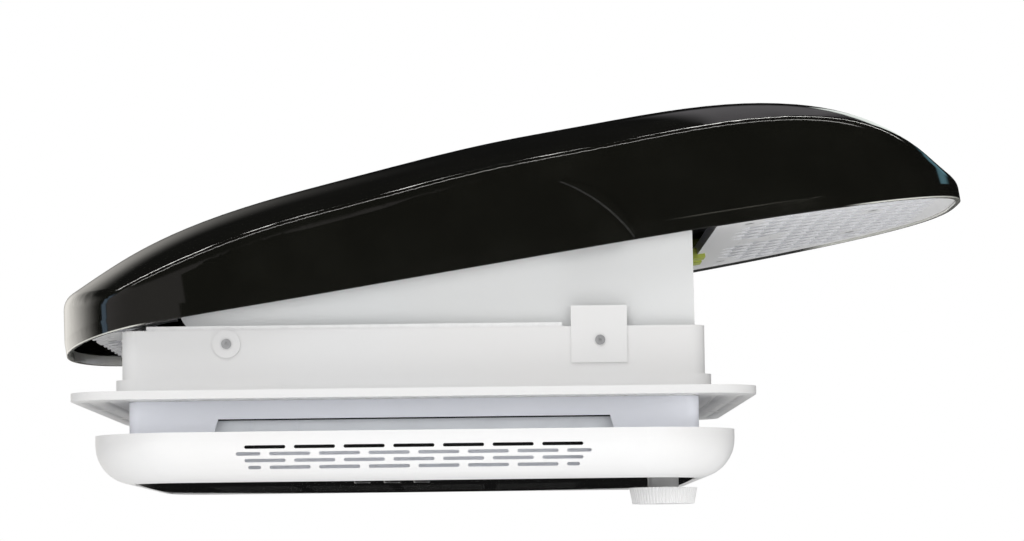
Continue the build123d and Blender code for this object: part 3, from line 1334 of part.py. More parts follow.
def cable_grommet():
    """Rubber ring in the left wall of the neck, where the supply leads come in."""
    low, high = -NECK_HALF - GROMMET_LIP, -NECK_INNER + GROMMET_LIP
    body = rod_x(GROMMET_RADIUS, -NECK_HALF, -NECK_INNER, GROMMET_Y, GROMMET_Z)
    lips = [
        rod_x(GROMMET_RADIUS + GROMMET_LIP, low, -NECK_HALF, GROMMET_Y, GROMMET_Z),
        rod_x(GROMMET_RADIUS + GROMMET_LIP, -NECK_INNER, high, GROMMET_Y, GROMMET_Z),
    ]
    return body + lips - rod_x(GROMMET_BORE, low - CUT, high + CUT, GROMMET_Y, GROMMET_Z)


PIECES = {
    "base_frame": base_frame(),
    "lid_seal": lid_seal(),
    "hinge_pins": hinge_pins(),
    "side_screws": side_screws(),
    "neck_frame": neck_frame(),
    "cable_grommet": cable_grommet(),
    "fan_shroud": fan_shroud(),
    "shroud_screws": shroud_screws(),
    "motor_bracket": motor_bracket(),
    "bracket_screws": bracket_screws(),
    "motor_case": motor_case(),
    "motor_cap": motor_cap(),
    "motor_bushes": motor_bushes(),
    "motor_magnets": motor_magnets(),
    "motor_screws": motor_screws(),
    "motor_shaft": motor_shaft(),
    "fan_blades": fan_blades(),
    "fan_nut": fan_nut(),
    "screen_frame": screen_frame(),
    "insect_screen": insect_screen(),
    "trim_bezel": trim_bezel(),
    "trim_panel": trim_panel(),
    "trim_screws": trim_screws(),
    "key_fan": key(0),
    "key_slower": key(1),
    "key_faster": key(2),
    "control_board": control_board(),
    "key_switches": key_switches(),
    "board_screws": board_screws(),
    "knob": knob(),
    "knob_shaft": knob_shaft(),
    "worm": worm(),
    "worm_wheel": worm_wheel(),
    "cross_shaft": cross_shaft(),
    "rack_pinions": rack_pinions(),
    "shaft_posts": shaft_posts(),
    "gearbox_case": gearbox_case(),
    "gearbox_cover": gearbox_cover(),
    "near_rack": lift_rack(-1),
    "far_rack": lift_rack(1),
    "rack_screws": rack_screws(),
    "near_wing": wing(-1),
    "far_wing": wing(1),
    "wing_screws": wing_screws(),
    "lid_shell": lid_shell(),
    "lid_liner": lid_liner(),
    "liner_screws": liner_screws(),
    "lid_hinges": lid_hinges(),
    "hinge_screws": hinge_screws(),
    "lid_buffers": lid_buffers(),
}

os.makedirs("parts", exist_ok=True)
for node, piece in PIECES.items():
    export_step(piece, "parts/" + node + ".step")
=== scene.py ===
"""Finishes, light and camera for a caravan roof vent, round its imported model."""

import math

import bmesh
import bpy
from mathutils import Matrix, Vector

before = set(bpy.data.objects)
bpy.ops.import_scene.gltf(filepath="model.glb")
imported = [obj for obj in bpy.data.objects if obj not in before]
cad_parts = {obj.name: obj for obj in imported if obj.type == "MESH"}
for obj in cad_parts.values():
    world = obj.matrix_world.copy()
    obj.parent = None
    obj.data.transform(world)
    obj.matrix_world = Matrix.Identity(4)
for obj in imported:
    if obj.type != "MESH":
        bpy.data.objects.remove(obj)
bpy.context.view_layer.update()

bl_info = {
    "name": "Caravan Roof Vent Finishes",
    "version": (1, 0, 0),
    "blender": (4, 5, 0),
    "location": "3D View > Sidebar > Roof Vent",
    "description": "Finishes, light and camera for the packed roof vent",
    "category": "Object",
}


class Signal:
    """A shader socket in a sum: each operator adds a Math node to its graph."""

    def __init__(self, graph, socket):
        self.graph = graph
        self.socket = socket

    def math(self, operation, *values):
        return self.graph.node("ShaderNodeMath", {"operation": operation}, dict(enumerate(values)))

    def __add__(self, other):
        return self.math("ADD", self, other)

    def __radd__(self, other):
        return self.math("ADD", other, self)

    def __sub__(self, other):
        return self.math("SUBTRACT", self, other)

    def __rsub__(self, other):
        return self.math("SUBTRACT", other, self)

    def __mul__(self, other):
        return self.math("MULTIPLY", self, other)

    def __rmul__(self, other):
        return self.math("MULTIPLY", other, self)


class Graph:
    """A node tree that is filled from its output backwards."""

    def __init__(self, tree):
        self.tree = tree

    def node(self, kind, settings=None, values=None, output=0):
        """Adds a node, sets it up, gives its sockets their values or links, and returns one output."""
        made = self.tree.nodes.new(kind)
        for key, value in (settings or {}).items():
            setattr(made, key, value)
        for key, value in (values or {}).items():
            self.feed(made.inputs[key], value)
        return Signal(self, made.outputs[output]) if made.outputs else None

    def feed(self, socket, value):
        if isinstance(value, Signal):
            self.tree.links.new(value.socket, socket)
        else:
            socket.default_value = value

    def place(self):
        return self.node("ShaderNodeTexCoord", output="Object")

    def stretched(self, scale):
        return self.node("ShaderNodeMapping", {}, {"Vector": self.place(), "Scale": scale})

    def noise(self, scale, detail=2.0, roughness=0.5, vector=None):
        values = {"Vector": vector or self.place(), "Scale": scale, "Detail": detail, "Roughness": roughness}
        return self.node("ShaderNodeTexNoise", {}, values)

    def cells(self, scale, vector=None):
        return self.node("ShaderNodeTexVoronoi", {}, {"Vector": vector or self.place(), "Scale": scale})

    def ease(self, value, low, high, start=0.0, end=1.0):
        """A smooth step of value from start at low to end at high."""
        values = {"Value": value, "From Min": low, "From Max": high, "To Min": start, "To Max": end}
        return self.node("ShaderNodeMapRange", {"interpolation_type": "SMOOTHSTEP"}, values)

    def band(self, value, low, high, soft):
        return self.ease(value, low - soft, low) * (1 - self.ease(value, high, high + soft))

    def mix(self, share, first, second):
        """Colour between first and second."""
        ends = [end if isinstance(end, Signal) else (*end, 1.0) for end in (first, second)]
        return self.node("ShaderNodeMix", {"data_type": "RGBA"}, {0: share, 6: ends[0], 7: ends[1]}, output=2)


class Finish(Graph):
    """A material for one kind of surface."""

    def __init__(self, name, **uniform):
        self.material = bpy.data.materials.new(name)
        self.material.use_nodes = True
        super().__init__(self.material.node_tree)
        self.shader = self.tree.nodes["Principled BSDF"]
        for key, value in uniform.items():
            self.put(key.replace("_", " "), value)

    def put(self, name, value):
        """Gives a socket of the main shader its value or link."""
        if isinstance(value, tuple):
            value = (*value, 1.0)
        self.feed(self.shader.inputs[name], value)

    def bumps(self, *layers, below=None):
        """Stacks Bump nodes on a normal: each layer is a height signal, a strength and a depth in metres."""
        for height, strength, depth in layers:
            values = {"Height": height, "Strength": strength, "Distance": depth}
            if below:
                values["Normal"] = below
            below = self.node("ShaderNodeBump", {}, values)
        self.put("Normal", below)

    def cover(self, *nodes):
        """Paints CAD nodes, or pieces made here, with this material."""
        for node in nodes:
            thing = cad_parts[node] if isinstance(node, str) else node
            if not thing.material_slots:
                thing.data.materials.append(self.material)
            for slot in thing.material_slots:
                slot.link = "OBJECT"
                slot.material = self.material


# The lid's hinge line, its opening at rest and the middle of its plan along X, in metres
HINGE = Vector((-0.172, 0.0, 0.0438))
OPENING = math.radians(9.2)
LID_MIDDLE = 0.065

# Where the lid's two ends get a painted highlight at the edge, each from no tone to full tone along X
NOSE_EDGE = (-0.158, -0.170)
TAIL_EDGE = (0.262, 0.285)

# Heights over the rim: painted highlight on the edge, painted reflection on the inner face, and the depths
# over which the liner's recesses take their painted shade
EDGE_HEIGHT = (0.0010, 0.0005)
INNER_HEIGHT = (0.0068, 0.0060)
RECESS_DEPTH = (0.0016, 0.0055)

# Heights on the shroud where it is painted black as shade over the side windows and behind the top row of
# slots
OVER_WINDOW = (-0.0118, -0.0114)
BEHIND_SLOTS = (-0.0262, -0.0266)

PLASTIC_IOR = 1.47
GLOSS_IOR = 1.5
RUBBER_IOR = 1.4

# The floor disc, and how far from the middle it fades out of reflections
FLOOR_RADIUS = 9.0
FLOOR_SIDES = 96
FLOOR_FADE = (0.9, 1.5)

# Lamps: place, aim and size in metres. The low lamp's heights are over the floor.
KEY_LAMP = ((-0.6, -1.5, 2.2), (0.0, 0.0, 0.05), (1.6, 1.0))
LOW_LAMP = ((0.3, -0.35, 0.01), (0.3, -0.30, 0.42), (1.2, 0.8))

# Patches of the room that polished surfaces reflect. Bearing is in radians from the camera's side, and
# height is the upward part of the direction. Each range is its low end, high end and soft edge.
DARK_ROOM = (0.006, 0.006, 0.006)
PATCHES = (
    # wall beside the camera
    ((-1.95, -0.185, 0.015), (-0.5, 0.6, 0.2), (0.20, 0.185, 0.185)),
    # sheen over the right end
    ((3.01, 3.10, 0.03), (0.3, 0.5, 0.05), (0.12, 0.115, 0.12)),
    # upright streak at the nose
    ((-2.06, -1.98, 0.02), (-0.5, 0.3, 0.2), (0.25, 0.36, 0.48)),
    # pale patch and teal patch at the right end
    ((2.955, 3.02, 0.015), (0.14, 0.25, 0.02), (0.85, 0.90, 0.86)),
    ((2.3, 2.6, 0.06), (0.29, 0.38, 0.05), (0.20, 0.42, 0.50)),
    # line along the foot of the lid's wall
    ((0.3, 0.72, 0.1), (0.215, 0.26, 0.01), (2.4, 2.3, 2.0)),
    # light that the fin's flank turns to
    ((-0.9, -0.4, 0.05), (-0.5, -0.15, 0.05), (2.0, 2.0, 1.9)),
)
LEFT_LIGHT = (0.95, 0.92, 0.86)
STRIP_LIGHT = (5.5, 5.4, 5.2)
STRIP_SWEEPS = ((1.765, 1.80, 0.005), (2.32, 2.355, 0.005))
FRONT_SKY = ((-0.5, 0.5, 0.3), (-0.1, 0.22, 0.1))


def shade(colour, share):
    return tuple(channel * share for channel in colour)


def moulded(name, colour, roughness, grain=0.5, warm=0.985):
    """Injection-moulded plastic: fine spark grain, slow sink marks, drifting tone and rubbed patches."""
    finish = Finish(name, Metallic=0.0, IOR=PLASTIC_IOR)
    slow = finish.noise(7.0, 3.0)
    cloud = finish.noise(46.0, 4.0, 0.6)
    fine = finish.noise(1900.0, 2.0)
    warmer = (colour[0], colour[1] * (1 + warm) / 2, colour[2] * warm)
    tone = finish.mix(finish.ease(slow, 0.35, 0.65), colour, warmer)
    speck = finish.ease(finish.noise(620.0, 2.0), 0.7, 0.78, 0.0, 0.16)
    rubbed = finish.mix(finish.ease(cloud, 0.52, 0.8, 0.0, 0.5), tone, shade(colour, 0.97))
    finish.put("Base Color", finish.mix(speck, rubbed, shade(colour, 0.82)))
    finish.put("Roughness", roughness + finish.ease(cloud, 0.3, 0.75, -0.05, 0.07) + (fine - 0.5) * 0.06)
    finish.bumps((slow, 0.12, 0.0004), (fine, 0.10 * grain, 0.00012))
    return finish


def over_rim(finish):
    """Height over the plane of the lid's rim, which is drawn raised about the hinge."""
    parts = finish.node("ShaderNodeSeparateXYZ", {}, {0: finish.place()})
    x, z = (Signal(finish, parts.socket.node.outputs[axis]) for axis in ("X", "Z"))
    return (z - HINGE.z) * math.cos(OPENING) - (x - HINGE.x) * math.sin(OPENING)


def inner_side(finish):
    """1 on surfaces that face the middle of the lid, 0 on those that face out."""
    place = finish.node("ShaderNodeSeparateXYZ", {}, {0: finish.place()})
    normal = finish.node("ShaderNodeNewGeometry", output="Normal")
    facing = finish.node("ShaderNodeSeparateXYZ", {}, {0: normal})
    x, y = (Signal(finish, place.socket.node.outputs[axis]) for axis in ("X", "Y"))
    nx, ny = (Signal(finish, facing.socket.node.outputs[axis]) for axis in ("X", "Y"))
    return finish.ease((x - LID_MIDDLE) * nx + y * ny, -0.004, -0.02)


def polished(name, colour, painted_rim_light=False):
    """High-gloss black plastic: deep colour under a clear skin with slight orange peel and hairlines."""
    finish = Finish(name, Metallic=0.0, IOR=GLOSS_IOR, Coat_IOR=GLOSS_IOR, Coat_Roughness=0.02)
    peel = finish.noise(150.0, 2.0)
    swell = finish.noise(11.0, 2.0)
    hair = finish.noise(420.0, 3.0, 0.7, finish.stretched((0.05, 1.0, 1.0)))
    haze = finish.noise(24.0, 4.0, 0.6)
    tone = finish.mix(finish.ease(haze, 0.35, 0.75), colour, shade(colour, 1.35))
    dust = finish.ease(finish.noise(1500.0, 1.0), 0.76, 0.82, 0.0, 0.05)
    tone = finish.mix(dust, tone, (0.2, 0.2, 0.19))
    # Painted highlight on the rim's edge and painted reflection on its inner face, pale at the lid's two ends
    if painted_rim_light:
        height = over_rim(finish)
        along = finish.node("ShaderNodeSeparateXYZ", {}, {0: finish.place()})
        inside = finish.ease(height, *INNER_HEIGHT) * inner_side(finish)
        ends = finish.ease(along, *NOSE_EDGE) + finish.ease(along, *TAIL_EDGE)
        rim_light_share = ends * inside.math("MAXIMUM", inside, finish.ease(height, *EDGE_HEIGHT))
        tone = finish.mix(rim_light_share, tone, (0.80, 0.80, 0.74))
    finish.put("Base Color", tone)
    cloudy = finish.ease(haze, 0.35, 0.8, 0.0, 0.05)
    finish.put("Roughness", 0.05 + cloudy + finish.ease(hair, 0.62, 0.8, 0.0, 0.06))
    finish.put("Coat Weight", finish.ease(haze, 0.2, 0.8, 0.9, 0.55))
    edges = finish.node("ShaderNodeBevel", {"samples": 6}, {"Radius": 0.0012})
    finish.bumps((swell, 0.03, 0.0002), (peel, 0.012, 0.00003), below=edges)
    return finish


def plated(name, colour, roughness, turning=False):
    """Zinc or uncoated metal with rolled streaks, stains and small pits."""
    finish = Finish(name)
    drawn = (1.0, 1.0, 0.08) if turning else (0.08, 1.0, 1.0)
    streak = finish.noise(900.0, 3.0, 0.6, finish.stretched(drawn))
    stain = finish.noise(90.0, 4.0, 0.65)
    tone = finish.mix(finish.ease(stain, 0.35, 0.7), colour, shade(colour, 0.78))
    finish.put("Base Color", tone)
    finish.put("Metallic", finish.ease(stain, 0.55, 0.8, 1.0, 0.85))
    finish.put("Roughness", roughness + (streak - 0.5) * 0.16 + finish.ease(stain, 0.5, 0.8, 0.0, 0.12))
    finish.bumps((streak, 0.15, 0.00005), (stain, 0.12, 0.0001))
    return finish


def coated(name, colour, roughness, pitch=1100.0):
    """Paint, powder coat or ferrite: pebbled skin with dusty hollows and rubbed crests."""
    finish = Finish(name, Metallic=0.0)
    pebble = finish.cells(pitch)
    cloud = finish.noise(60.0, 4.0, 0.6)
    tone = finish.mix(finish.ease(cloud, 0.4, 0.75), colour, shade(colour, 1.35))
    finish.put("Base Color", finish.mix(finish.ease(pebble, 0.2, 0.8, 0.0, 0.25), tone, shade(colour, 0.7)))
    finish.put("Roughness", roughness + finish.ease(cloud, 0.3, 0.8, -0.06, 0.08))
    finish.bumps((pebble, 0.25, 0.0001))
    return finish


def rubbery(name, colour, roughness):
    """Foam strip or soft plastic: open pores, bloom and a slightly mottled tone."""
    finish = Finish(name, Metallic=0.0, IOR=RUBBER_IOR)
    pores = finish.cells(1400.0)
    bloom = finish.noise(120.0, 4.0, 0.6)
    tone = finish.mix(finish.ease(bloom, 0.4, 0.75, 0.0, 0.6), colour, shade(colour, 0.86))
    finish.put("Base Color", finish.mix(finish.ease(pores, 0.0, 0.25, 0.5, 0.0), tone, shade(colour, 0.6)))
    finish.put("Roughness", roughness + finish.ease(bloom, 0.3, 0.8, -0.05, 0.1))
    finish.bumps((pores, 0.2, 0.00012))
    return finish


def laminate(name, colour):
    """Green board with faint weave and lighter copper runs under the lacquer."""
    finish = Finish(name, Metallic=0.0, Coat_Roughness=0.2)
    threads = {"Vector": finish.place(), "Scale": 420.0}
    weave = finish.node("ShaderNodeTexWave", {"bands_direction": "X"}, threads)
    runs = finish.cells(260.0, finish.stretched((1.0, 0.25, 1.0)))
    share = finish.ease(runs, 0.42, 0.5, 0.0, 0.7)
    finish.put("Base Color", finish.mix(share, colour, (colour[0] * 2.5, colour[1] * 1.7, colour[2] * 1.6)))
    finish.put("Roughness", 0.35 + finish.ease(weave, 0.2, 0.8, 0.0, 0.12))
    finish.put("Coat Weight", finish.ease(runs, 0.3, 0.6, 0.5, 0.7))
    finish.bumps((weave, 0.1, 0.00005), (runs, 0.1, 0.00004))
    return finish


class VentColours(bpy.types.PropertyGroup):
    """Colours of the vent's materials."""

    lid: bpy.props.FloatVectorProperty(
        name="Lid", description="Polished lid and ceiling panel", subtype="COLOR", size=3, min=0, max=1,
        default=(0.0055, 0.0055, 0.0042))
    white: bpy.props.FloatVectorProperty(
        name="White", description="Base, wings, trim and knob", subtype="COLOR", size=3, min=0, max=1,
        default=(0.86, 0.86, 0.86))
    liner: bpy.props.FloatVectorProperty(
        name="Liner", description="Waffled liner under the lid", subtype="COLOR", size=3, min=0, max=1,
        default=(0.93, 0.93, 0.935))
    # Painted light and shade: a blue cast of shade on white plastic, made paler than the base to lift the
    # neck's shade
    neck: bpy.props.FloatVectorProperty(
        name="Neck", description="Neck between flange and trim", subtype="COLOR", size=3, min=0, max=1,
        default=(0.90, 0.92, 0.985))
    keys: bpy.props.FloatVectorProperty(
        name="Keys", description="Keys in the ceiling panel", subtype="COLOR", size=3, min=0, max=1,
        default=(0.006, 0.006, 0.006))
    fan: bpy.props.FloatVectorProperty(
        name="Fan", description="Fan blades", subtype="COLOR", size=3, min=0, max=1,
        default=(0.05, 0.05, 0.055))
    buffer: bpy.props.FloatVectorProperty(
        name="Buffer", description="Yellow-green stops under the lid", subtype="COLOR", size=3, min=0, max=1,
        default=(0.52, 0.60, 0.10))


class VentStudio(bpy.types.PropertyGroup):
    """Camera, floor and light."""

    eye: bpy.props.FloatVectorProperty(
        name="Eye", description="Place of the camera", subtype="TRANSLATION", unit="LENGTH", size=3,
        default=(0.036933, -2.3915, -0.10323))
    yaw: bpy.props.FloatProperty(
        name="Yaw", description="Turn of the camera to the right", subtype="ANGLE", default=0.010394)
    pitch: bpy.props.FloatProperty(
        name="Pitch", description="Tilt of the camera upwards", subtype="ANGLE", default=0.080937)
    roll: bpy.props.FloatProperty(
        name="Roll", description="Lean of the camera about its own line of sight", subtype="ANGLE",
        default=-0.012294)
    lens: bpy.props.FloatProperty(
        name="Lens", description="Focal length on a 36 mm wide sensor", unit="CAMERA", default=129.55)
    floor: bpy.props.FloatProperty(
        name="Floor", description="Height of the floor", unit="LENGTH", default=-0.32)
    sky: bpy.props.FloatProperty(
        name="Sky", description="Strength of the even light from all round", min=0, default=0.72)
    front: bpy.props.FloatProperty(
        name="Front", description="Strength of the low light from the camera's side", min=0, default=2.5)
    key: bpy.props.FloatProperty(
        name="Key lamp", description="Power of the large lamp above", unit="POWER", min=0, default=15.0)
    low: bpy.props.FloatProperty(
        name="Low lamp", description="Power of the lamp at floor level", unit="POWER", min=0, default=2.2)


class PieceOperator:
    """What the operators share."""

    bl_options = {"REGISTER", "UNDO"}

    @staticmethod
    def need(*nodes):
        """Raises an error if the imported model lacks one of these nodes."""
        missing = [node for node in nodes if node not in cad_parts]
        if missing:
            raise RuntimeError(f"the packed model has no {', '.join(missing)}")


class VENT_OT_lid(PieceOperator, bpy.types.Operator):
    """Polish the lid and finish its liner, wings, stops and hinge leaves."""

    bl_idname = "vent.lid"
    bl_label = "Lid"

    def execute(self, context):
        self.need("lid_shell", "lid_liner", "near_wing", "far_wing", "lid_buffers", "lid_hinges")
        colours = context.scene.vent_colours
        # The lid's rim gets a painted highlight and a painted reflection at its two ends
        polished("Polished black", tuple(colours.lid), painted_rim_light=True).cover("lid_shell")
        self.liner(tuple(colours.liner)).cover("lid_liner")
        moulded("Wing white", (0.70, 0.712, 0.715), 0.38).cover("near_wing", "far_wing", "rack_screws")
        rubbery("Stop yellow-green", tuple(colours.buffer), 0.5).cover("lid_buffers")
        moulded("Hinge nylon", (0.1, 0.1, 0.1), 0.5).cover("lid_hinges")
        return {"FINISHED"}

    @staticmethod
    def liner(colour):
        """White plastic whose recesses are rougher and carry a painted bluish shade that grows with depth."""
        finish = Finish("Liner white", Metallic=0.0, IOR=PLASTIC_IOR)
        # Painted shade: the recesses turn a darker bluish white as they get deeper
        depth = finish.ease(over_rim(finish), *RECESS_DEPTH)
        cloud = finish.noise(46.0, 4.0, 0.6)
        fine = finish.noise(1900.0, 2.0)
        deep = finish.mix(finish.ease(cloud, 0.3, 0.7), (0.74, 0.75, 0.83), (0.78, 0.79, 0.86))
        finish.put("Base Color", finish.mix(depth, finish.mix(cloud * 0.1, colour, shade(colour, 0.9)), deep))
        finish.put("Roughness", 0.40 + depth * 0.15 + (fine - 0.5) * 0.06)
        finish.bumps((fine, 0.05, 0.00012))
        return finish


class VENT_OT_base(PieceOperator, bpy.types.Operator):
    """Finish the base with its flange, and the seal."""

    bl_idname = "vent.base"
    bl_label = "Base"

    def execute(self, context):
        self.need("base_frame", "lid_seal")
        colours = context.scene.vent_colours
        moulded("Base white", shade(tuple(colours.white), 0.85), 0.36).cover("base_frame")
        rubbery("Seal foam", (0.78, 0.78, 0.78), 0.75).cover("lid_seal")
        return {"FINISHED"}


class VENT_OT_neck(PieceOperator, bpy.types.Operator):
    """Finish the neck, the cable grommet and the fan shroud."""

    bl_idname = "vent.neck"
    bl_label = "Neck"

    def execute(self, context):
        self.need("neck_frame", "cable_grommet", "fan_shroud")
        colours = context.scene.vent_colours
        # The neck is white plastic with a painted blue cast of shade, made paler to lift its shade
        moulded("Neck white with painted shade", tuple(colours.neck), 0.4, warm=1.0).cover("neck_frame")
        # The shroud's blue cast is painted shade on pale plastic
        self.shroud((0.92, 0.95, 0.99)).cover("fan_shroud")
        rubbery("Grommet rubber", (0.03, 0.03, 0.03), 0.6).cover("cable_grommet")
        return {"FINISHED"}

    @staticmethod
    def shroud(colour):
        """Pale plastic with a blue cast of painted shade, and black bands of painted shade above the side
        windows and behind the top row of slots.
        """
        finish = Finish("Shroud white with painted shade", Metallic=0.0, IOR=PLASTIC_IOR)
        parts = finish.node("ShaderNodeSeparateXYZ", {}, {0: finish.place()})
        height = Signal(finish, parts.socket.node.outputs["Z"])
        # Painted shade: black bands where the gap over the side windows and the cavity behind the top row of
        # slots lie in shadow
        black = finish.ease(height, *OVER_WINDOW) + finish.ease(height, *BEHIND_SLOTS)
        cloud = finish.noise(46.0, 4.0, 0.6)
        fine = finish.noise(1900.0, 2.0)
        tone = finish.mix(finish.ease(cloud, 0.3, 0.7), colour, shade(colour, 0.95))
        finish.put("Base Color", finish.mix(black, tone, (0.004, 0.004, 0.004)))
        finish.put("Roughness", 0.42 + finish.ease(cloud, 0.3, 0.8, -0.05, 0.06))
        finish.bumps((fine, 0.05, 0.00012))
        return finish


class VENT_OT_fan(PieceOperator, bpy.types.Operator):
    """Finish the fan, its motor, the bracket and the insect screen."""

    bl_idname = "vent.fan"
    bl_label = "Fan"

    def execute(self, context):
        self.need("fan_blades", "motor_case", "motor_cap", "motor_magnets", "motor_bushes", "motor_shaft",
                  "motor_bracket", "screen_frame", "insect_screen")
        colours = context.scene.vent_colours
        moulded("Fan black", tuple(colours.fan), 0.45).cover("fan_blades")
        coated("Motor black", (0.05, 0.05, 0.055), 0.4).cover("motor_case", "motor_cap")
        coated("Ferrite", (0.06, 0.06, 0.06), 0.6, 2200.0).cover("motor_magnets")
        plated("Bush bronze", (0.66, 0.5, 0.24), 0.4).cover("motor_bushes")
        plated("Ground steel", (0.6, 0.6, 0.61), 0.25, turning=True).cover("motor_shaft")
        moulded("Bracket grey", (0.6, 0.62, 0.66), 0.45).cover("motor_bracket")
        moulded("Screen frame", (0.62, 0.63, 0.66), 0.45).cover("screen_frame")
        coated("Net black", (0.05, 0.05, 0.05), 0.5, 3000.0).cover("insect_screen")
        return {"FINISHED"}


class VENT_OT_trim(PieceOperator, bpy.types.Operator):
    """Finish the ceiling trim, its panel, the knob, the keys and the board behind them."""

    bl_idname = "vent.trim"
    bl_label = "Trim and controls"

    def execute(self, context):
        self.need("trim_bezel", "trim_panel", "knob", "key_fan", "key_slower", "key_faster",
                  "control_board", "key_switches")
        colours = context.scene.vent_colours
        moulded("Trim white", shade(tuple(colours.white), 0.96), 0.36).cover("trim_bezel")
        polished("Panel black", tuple(colours.lid)).cover("trim_panel")
        moulded("Knob white", shade(tuple(colours.white), 0.97), 0.4, grain=0.8).cover("knob")
        polished("Key black", tuple(colours.keys)).cover("key_fan", "key_slower", "key_faster")
        laminate("Board green", (0.02, 0.16, 0.06)).cover("control_board")
        moulded("Switch black", (0.03, 0.03, 0.03), 0.4).cover("key_switches")
        return {"FINISHED"}


class VENT_OT_lift(PieceOperator, bpy.types.Operator):
    """Finish the lift drive: racks, pinions, cross shaft, worm, wheel and gearbox."""

    bl_idname = "vent.lift"
    bl_label = "Lift drive"

    def execute(self, context):
        self.need("near_rack", "far_rack", "rack_pinions", "worm_wheel", "worm", "shaft_posts",
                  "gearbox_case", "gearbox_cover", "cross_shaft", "knob_shaft")
        gears = ("near_rack", "far_rack", "rack_pinions", "worm_wheel", "worm")
        housing = ("shaft_posts", "gearbox_case", "gearbox_cover")
        moulded("Gear acetal", (0.75, 0.75, 0.70), 0.35).cover(*gears)
        moulded("Drive housing", (0.62, 0.63, 0.66), 0.45).cover(*housing)
        plated("Drawn steel", (0.6, 0.6, 0.61), 0.28).cover("cross_shaft")
        plated("Turned steel", (0.6, 0.6, 0.61), 0.28, turning=True).cover("knob_shaft")
        return {"FINISHED"}


class VENT_OT_fasteners(PieceOperator, bpy.types.Operator):
    """Finish every screw, nut and pin."""

    bl_idname = "vent.fasteners"
    bl_label = "Fasteners"

    def execute(self, context):
        names = ["hinge_pins", "shroud_screws", "bracket_screws", "motor_screws", "trim_screws",
                 "board_screws", "liner_screws", "wing_screws", "hinge_screws", "fan_nut"]
        self.need("side_screws", *names)
        coated("Screw paint", (0.30, 0.30, 0.305), 0.5).cover("side_screws")
        plated("Zinc plate", (0.55, 0.55, 0.56), 0.32).cover(*names)
        return {"FINISHED"}


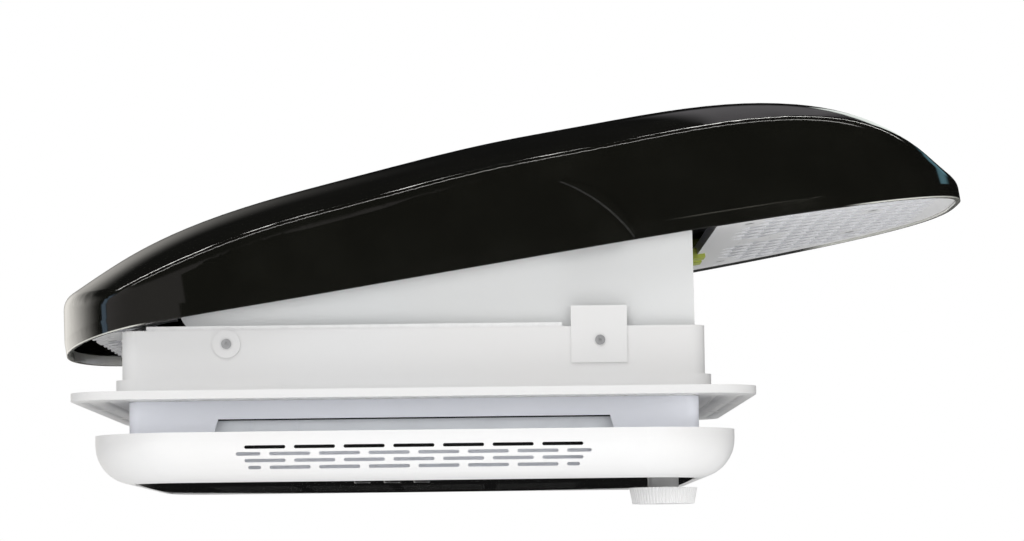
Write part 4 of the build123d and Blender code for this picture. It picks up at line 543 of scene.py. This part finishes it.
class VENT_OT_stage(PieceOperator, bpy.types.Operator):
    """Set the camera, the floor, the lamps and the light from all round."""

    bl_idname = "vent.stage"
    bl_label = "Stage"

    def execute(self, context):
        studio = context.scene.vent_studio
        self.camera(context, studio)
        self.floor(studio)
        self.world(context, studio)
        self.lamps(context, studio)
        return {"FINISHED"}

    @staticmethod
    def camera(context, studio):
        ahead = Vector((
            math.sin(studio.yaw) * math.cos(studio.pitch),
            math.cos(studio.yaw) * math.cos(studio.pitch),
            math.sin(studio.pitch),
        ))
        across = Vector((math.cos(studio.yaw), -math.sin(studio.yaw), 0.0))
        lean = Matrix.Rotation(-studio.roll, 3, ahead)
        across = lean @ across
        upward = across.cross(ahead)
        turn = Matrix((across, upward, -ahead)).transposed().to_4x4()
        data = bpy.data.cameras.new("Camera")
        data.lens = studio.lens
        data.sensor_width = 36.0
        data.clip_start = 0.05
        data.clip_end = 60.0
        eye = bpy.data.objects.new("Camera", data)
        eye.matrix_world = Matrix.Translation(Vector(studio.eye)) @ turn
        context.scene.collection.objects.link(eye)
        context.scene.camera = eye
        context.scene.view_settings.view_transform = "Standard"

    @staticmethod
    def floor(studio):
        mesh = bpy.data.meshes.new("floor")
        form = bmesh.new()
        bmesh.ops.create_circle(form, cap_ends=True, segments=FLOOR_SIDES, radius=FLOOR_RADIUS)
        bmesh.ops.translate(form, verts=form.verts, vec=(0.0, 0.0, studio.floor))
        form.to_mesh(mesh)
        form.free()
        floor = bpy.data.objects.new("floor", mesh)
        bpy.context.scene.collection.objects.link(floor)
        paper = Finish("Studio paper", Metallic=0.0)
        fibres = paper.noise(240.0, 4.0, 0.6)
        paper.put("Base Color", paper.mix(fibres, (0.90, 0.90, 0.90), (0.88, 0.88, 0.88)))
        paper.put("Roughness", 0.9 + fibres * 0.05)
        paper.cover(floor)
        reach = paper.node("ShaderNodeVectorMath", {"operation": "LENGTH"}, {0: paper.place()}, "Value")
        rays = paper.node("ShaderNodeLightPath", output="Is Glossy Ray")
        clear = paper.node("ShaderNodeBsdfTransparent")
        surface = Signal(paper, paper.shader.outputs[0])
        share = rays * paper.ease(reach, *FLOOR_FADE)
        skin = paper.node("ShaderNodeMixShader", {}, {0: share, 1: surface, 2: clear})
        paper.feed(paper.tree.nodes["Material Output"].inputs["Surface"], skin)

    @staticmethod
    def world(context, studio):
        world = bpy.data.worlds.new("Studio")
        world.use_nodes = True
        context.scene.world = world
        world.node_tree.nodes.clear()
        graph = Graph(world.node_tree)
        toward = graph.node("ShaderNodeTexCoord", output="Generated")
        parts = graph.node("ShaderNodeSeparateXYZ", {}, {0: toward})
        x, y, z = (Signal(graph, parts.socket.node.outputs[axis]) for axis in range(3))
        bearing = x.math("ARCTAN2", x, 0 - y)
        sweep = z.math("ARCTAN2", z, 0 - y)
        room = DARK_ROOM
        for sides, heights, colour in PATCHES:
            room = graph.mix(graph.band(bearing, *sides) * graph.band(z, *heights), room, colour)
        low = graph.ease(bearing, -3.055, -3.02)
        high = graph.ease(bearing, -3.09, -2.85) * graph.ease(z, 0.40, 0.12)
        left = graph.ease(bearing, -2.1, -2.75) * (low + (high - low) * graph.ease(z, 0.0, 0.1))
        room = graph.mix(left, room, LEFT_LIGHT)
        front_strip, back_strip = (graph.band(sweep, *ends) for ends in STRIP_SWEEPS)
        overhead = graph.ease(z, 0.36, 0.46) * graph.band(x, -0.6, 0.6, 0.08)
        room = graph.mix((front_strip + back_strip) * overhead, room, STRIP_LIGHT)
        rays = graph.node("ShaderNodeLightPath")
        glossy = Signal(graph, rays.socket.node.outputs["Is Glossy Ray"])
        seen = Signal(graph, rays.socket.node.outputs["Is Camera Ray"])
        passed = Signal(graph, rays.socket.node.outputs["Is Transmission Ray"])
        sides, heights = FRONT_SKY
        front = graph.band(bearing, *sides) * graph.band(z, *heights)
        sky = graph.mix(front, (studio.sky,) * 3, (studio.front,) * 3)
        even = graph.mix(glossy, sky, room)
        lit = graph.mix(seen.math("MAXIMUM", seen, passed), even, (1.0, 1.0, 1.0))
        light = graph.node("ShaderNodeBackground", {}, {"Color": lit, "Strength": 1.0})
        graph.node("ShaderNodeOutputWorld", {}, {"Surface": light})

    def lamps(self, context, studio):
        place, aim, size = (Vector(ends) for ends in LOW_LAMP)
        ground = Vector((0.0, 0.0, studio.floor))
        self.lamp(context, "Low", ground + place, ground + aim, size, studio.low)
        place, aim, size = (Vector(ends) for ends in KEY_LAMP)
        self.lamp(context, "Key", place, aim, size, studio.key)

    @staticmethod
    def lamp(context, name, place, aim, size, power):
        data = bpy.data.lights.new(name, "AREA")
        data.shape = "RECTANGLE"
        data.size, data.size_y = size
        data.energy = power
        lamp = bpy.data.objects.new(name, data)
        lamp.visible_glossy = False
        lamp.visible_camera = False
        lamp.location = place
        lamp.rotation_euler = (aim - place).to_track_quat("-Z", "Y").to_euler()
        context.scene.collection.objects.link(lamp)


class VENT_PT_panel(bpy.types.Panel):
    """Buttons for the roof vent's finishes and stage."""

    bl_label = "Roof Vent"
    bl_idname = "VENT_PT_panel"
    bl_space_type = "VIEW_3D"
    bl_region_type = "UI"
    bl_category = "Roof Vent"

    def draw(self, context):
        layout = self.layout
        for group in (context.scene.vent_colours, context.scene.vent_studio):
            box = layout.box()
            for name in group.bl_rna.properties.keys():
                if name not in ("rna_type", "name"):
                    box.prop(group, name)
        for operator in OPERATORS:
            layout.operator(operator.bl_idname)


GROUPS = (VentColours, VentStudio)
OPERATORS = (
    VENT_OT_lid, VENT_OT_base, VENT_OT_neck, VENT_OT_fan, VENT_OT_trim, VENT_OT_lift, VENT_OT_fasteners,
    VENT_OT_stage,
)


def register():
    for kind in (*GROUPS, *OPERATORS, VENT_PT_panel):
        bpy.utils.register_class(kind)
    bpy.types.Scene.vent_colours = bpy.props.PointerProperty(type=VentColours)
    bpy.types.Scene.vent_studio = bpy.props.PointerProperty(type=VentStudio)


def unregister():
    del bpy.types.Scene.vent_studio
    del bpy.types.Scene.vent_colours
    for kind in (VENT_PT_panel, *reversed(OPERATORS), *reversed(GROUPS)):
        bpy.utils.unregister_class(kind)


def main():
    register()
    for operator in OPERATORS:
        getattr(bpy.ops.vent, operator.bl_idname.partition(".")[2])()


if __name__ == "__main__":
    main()
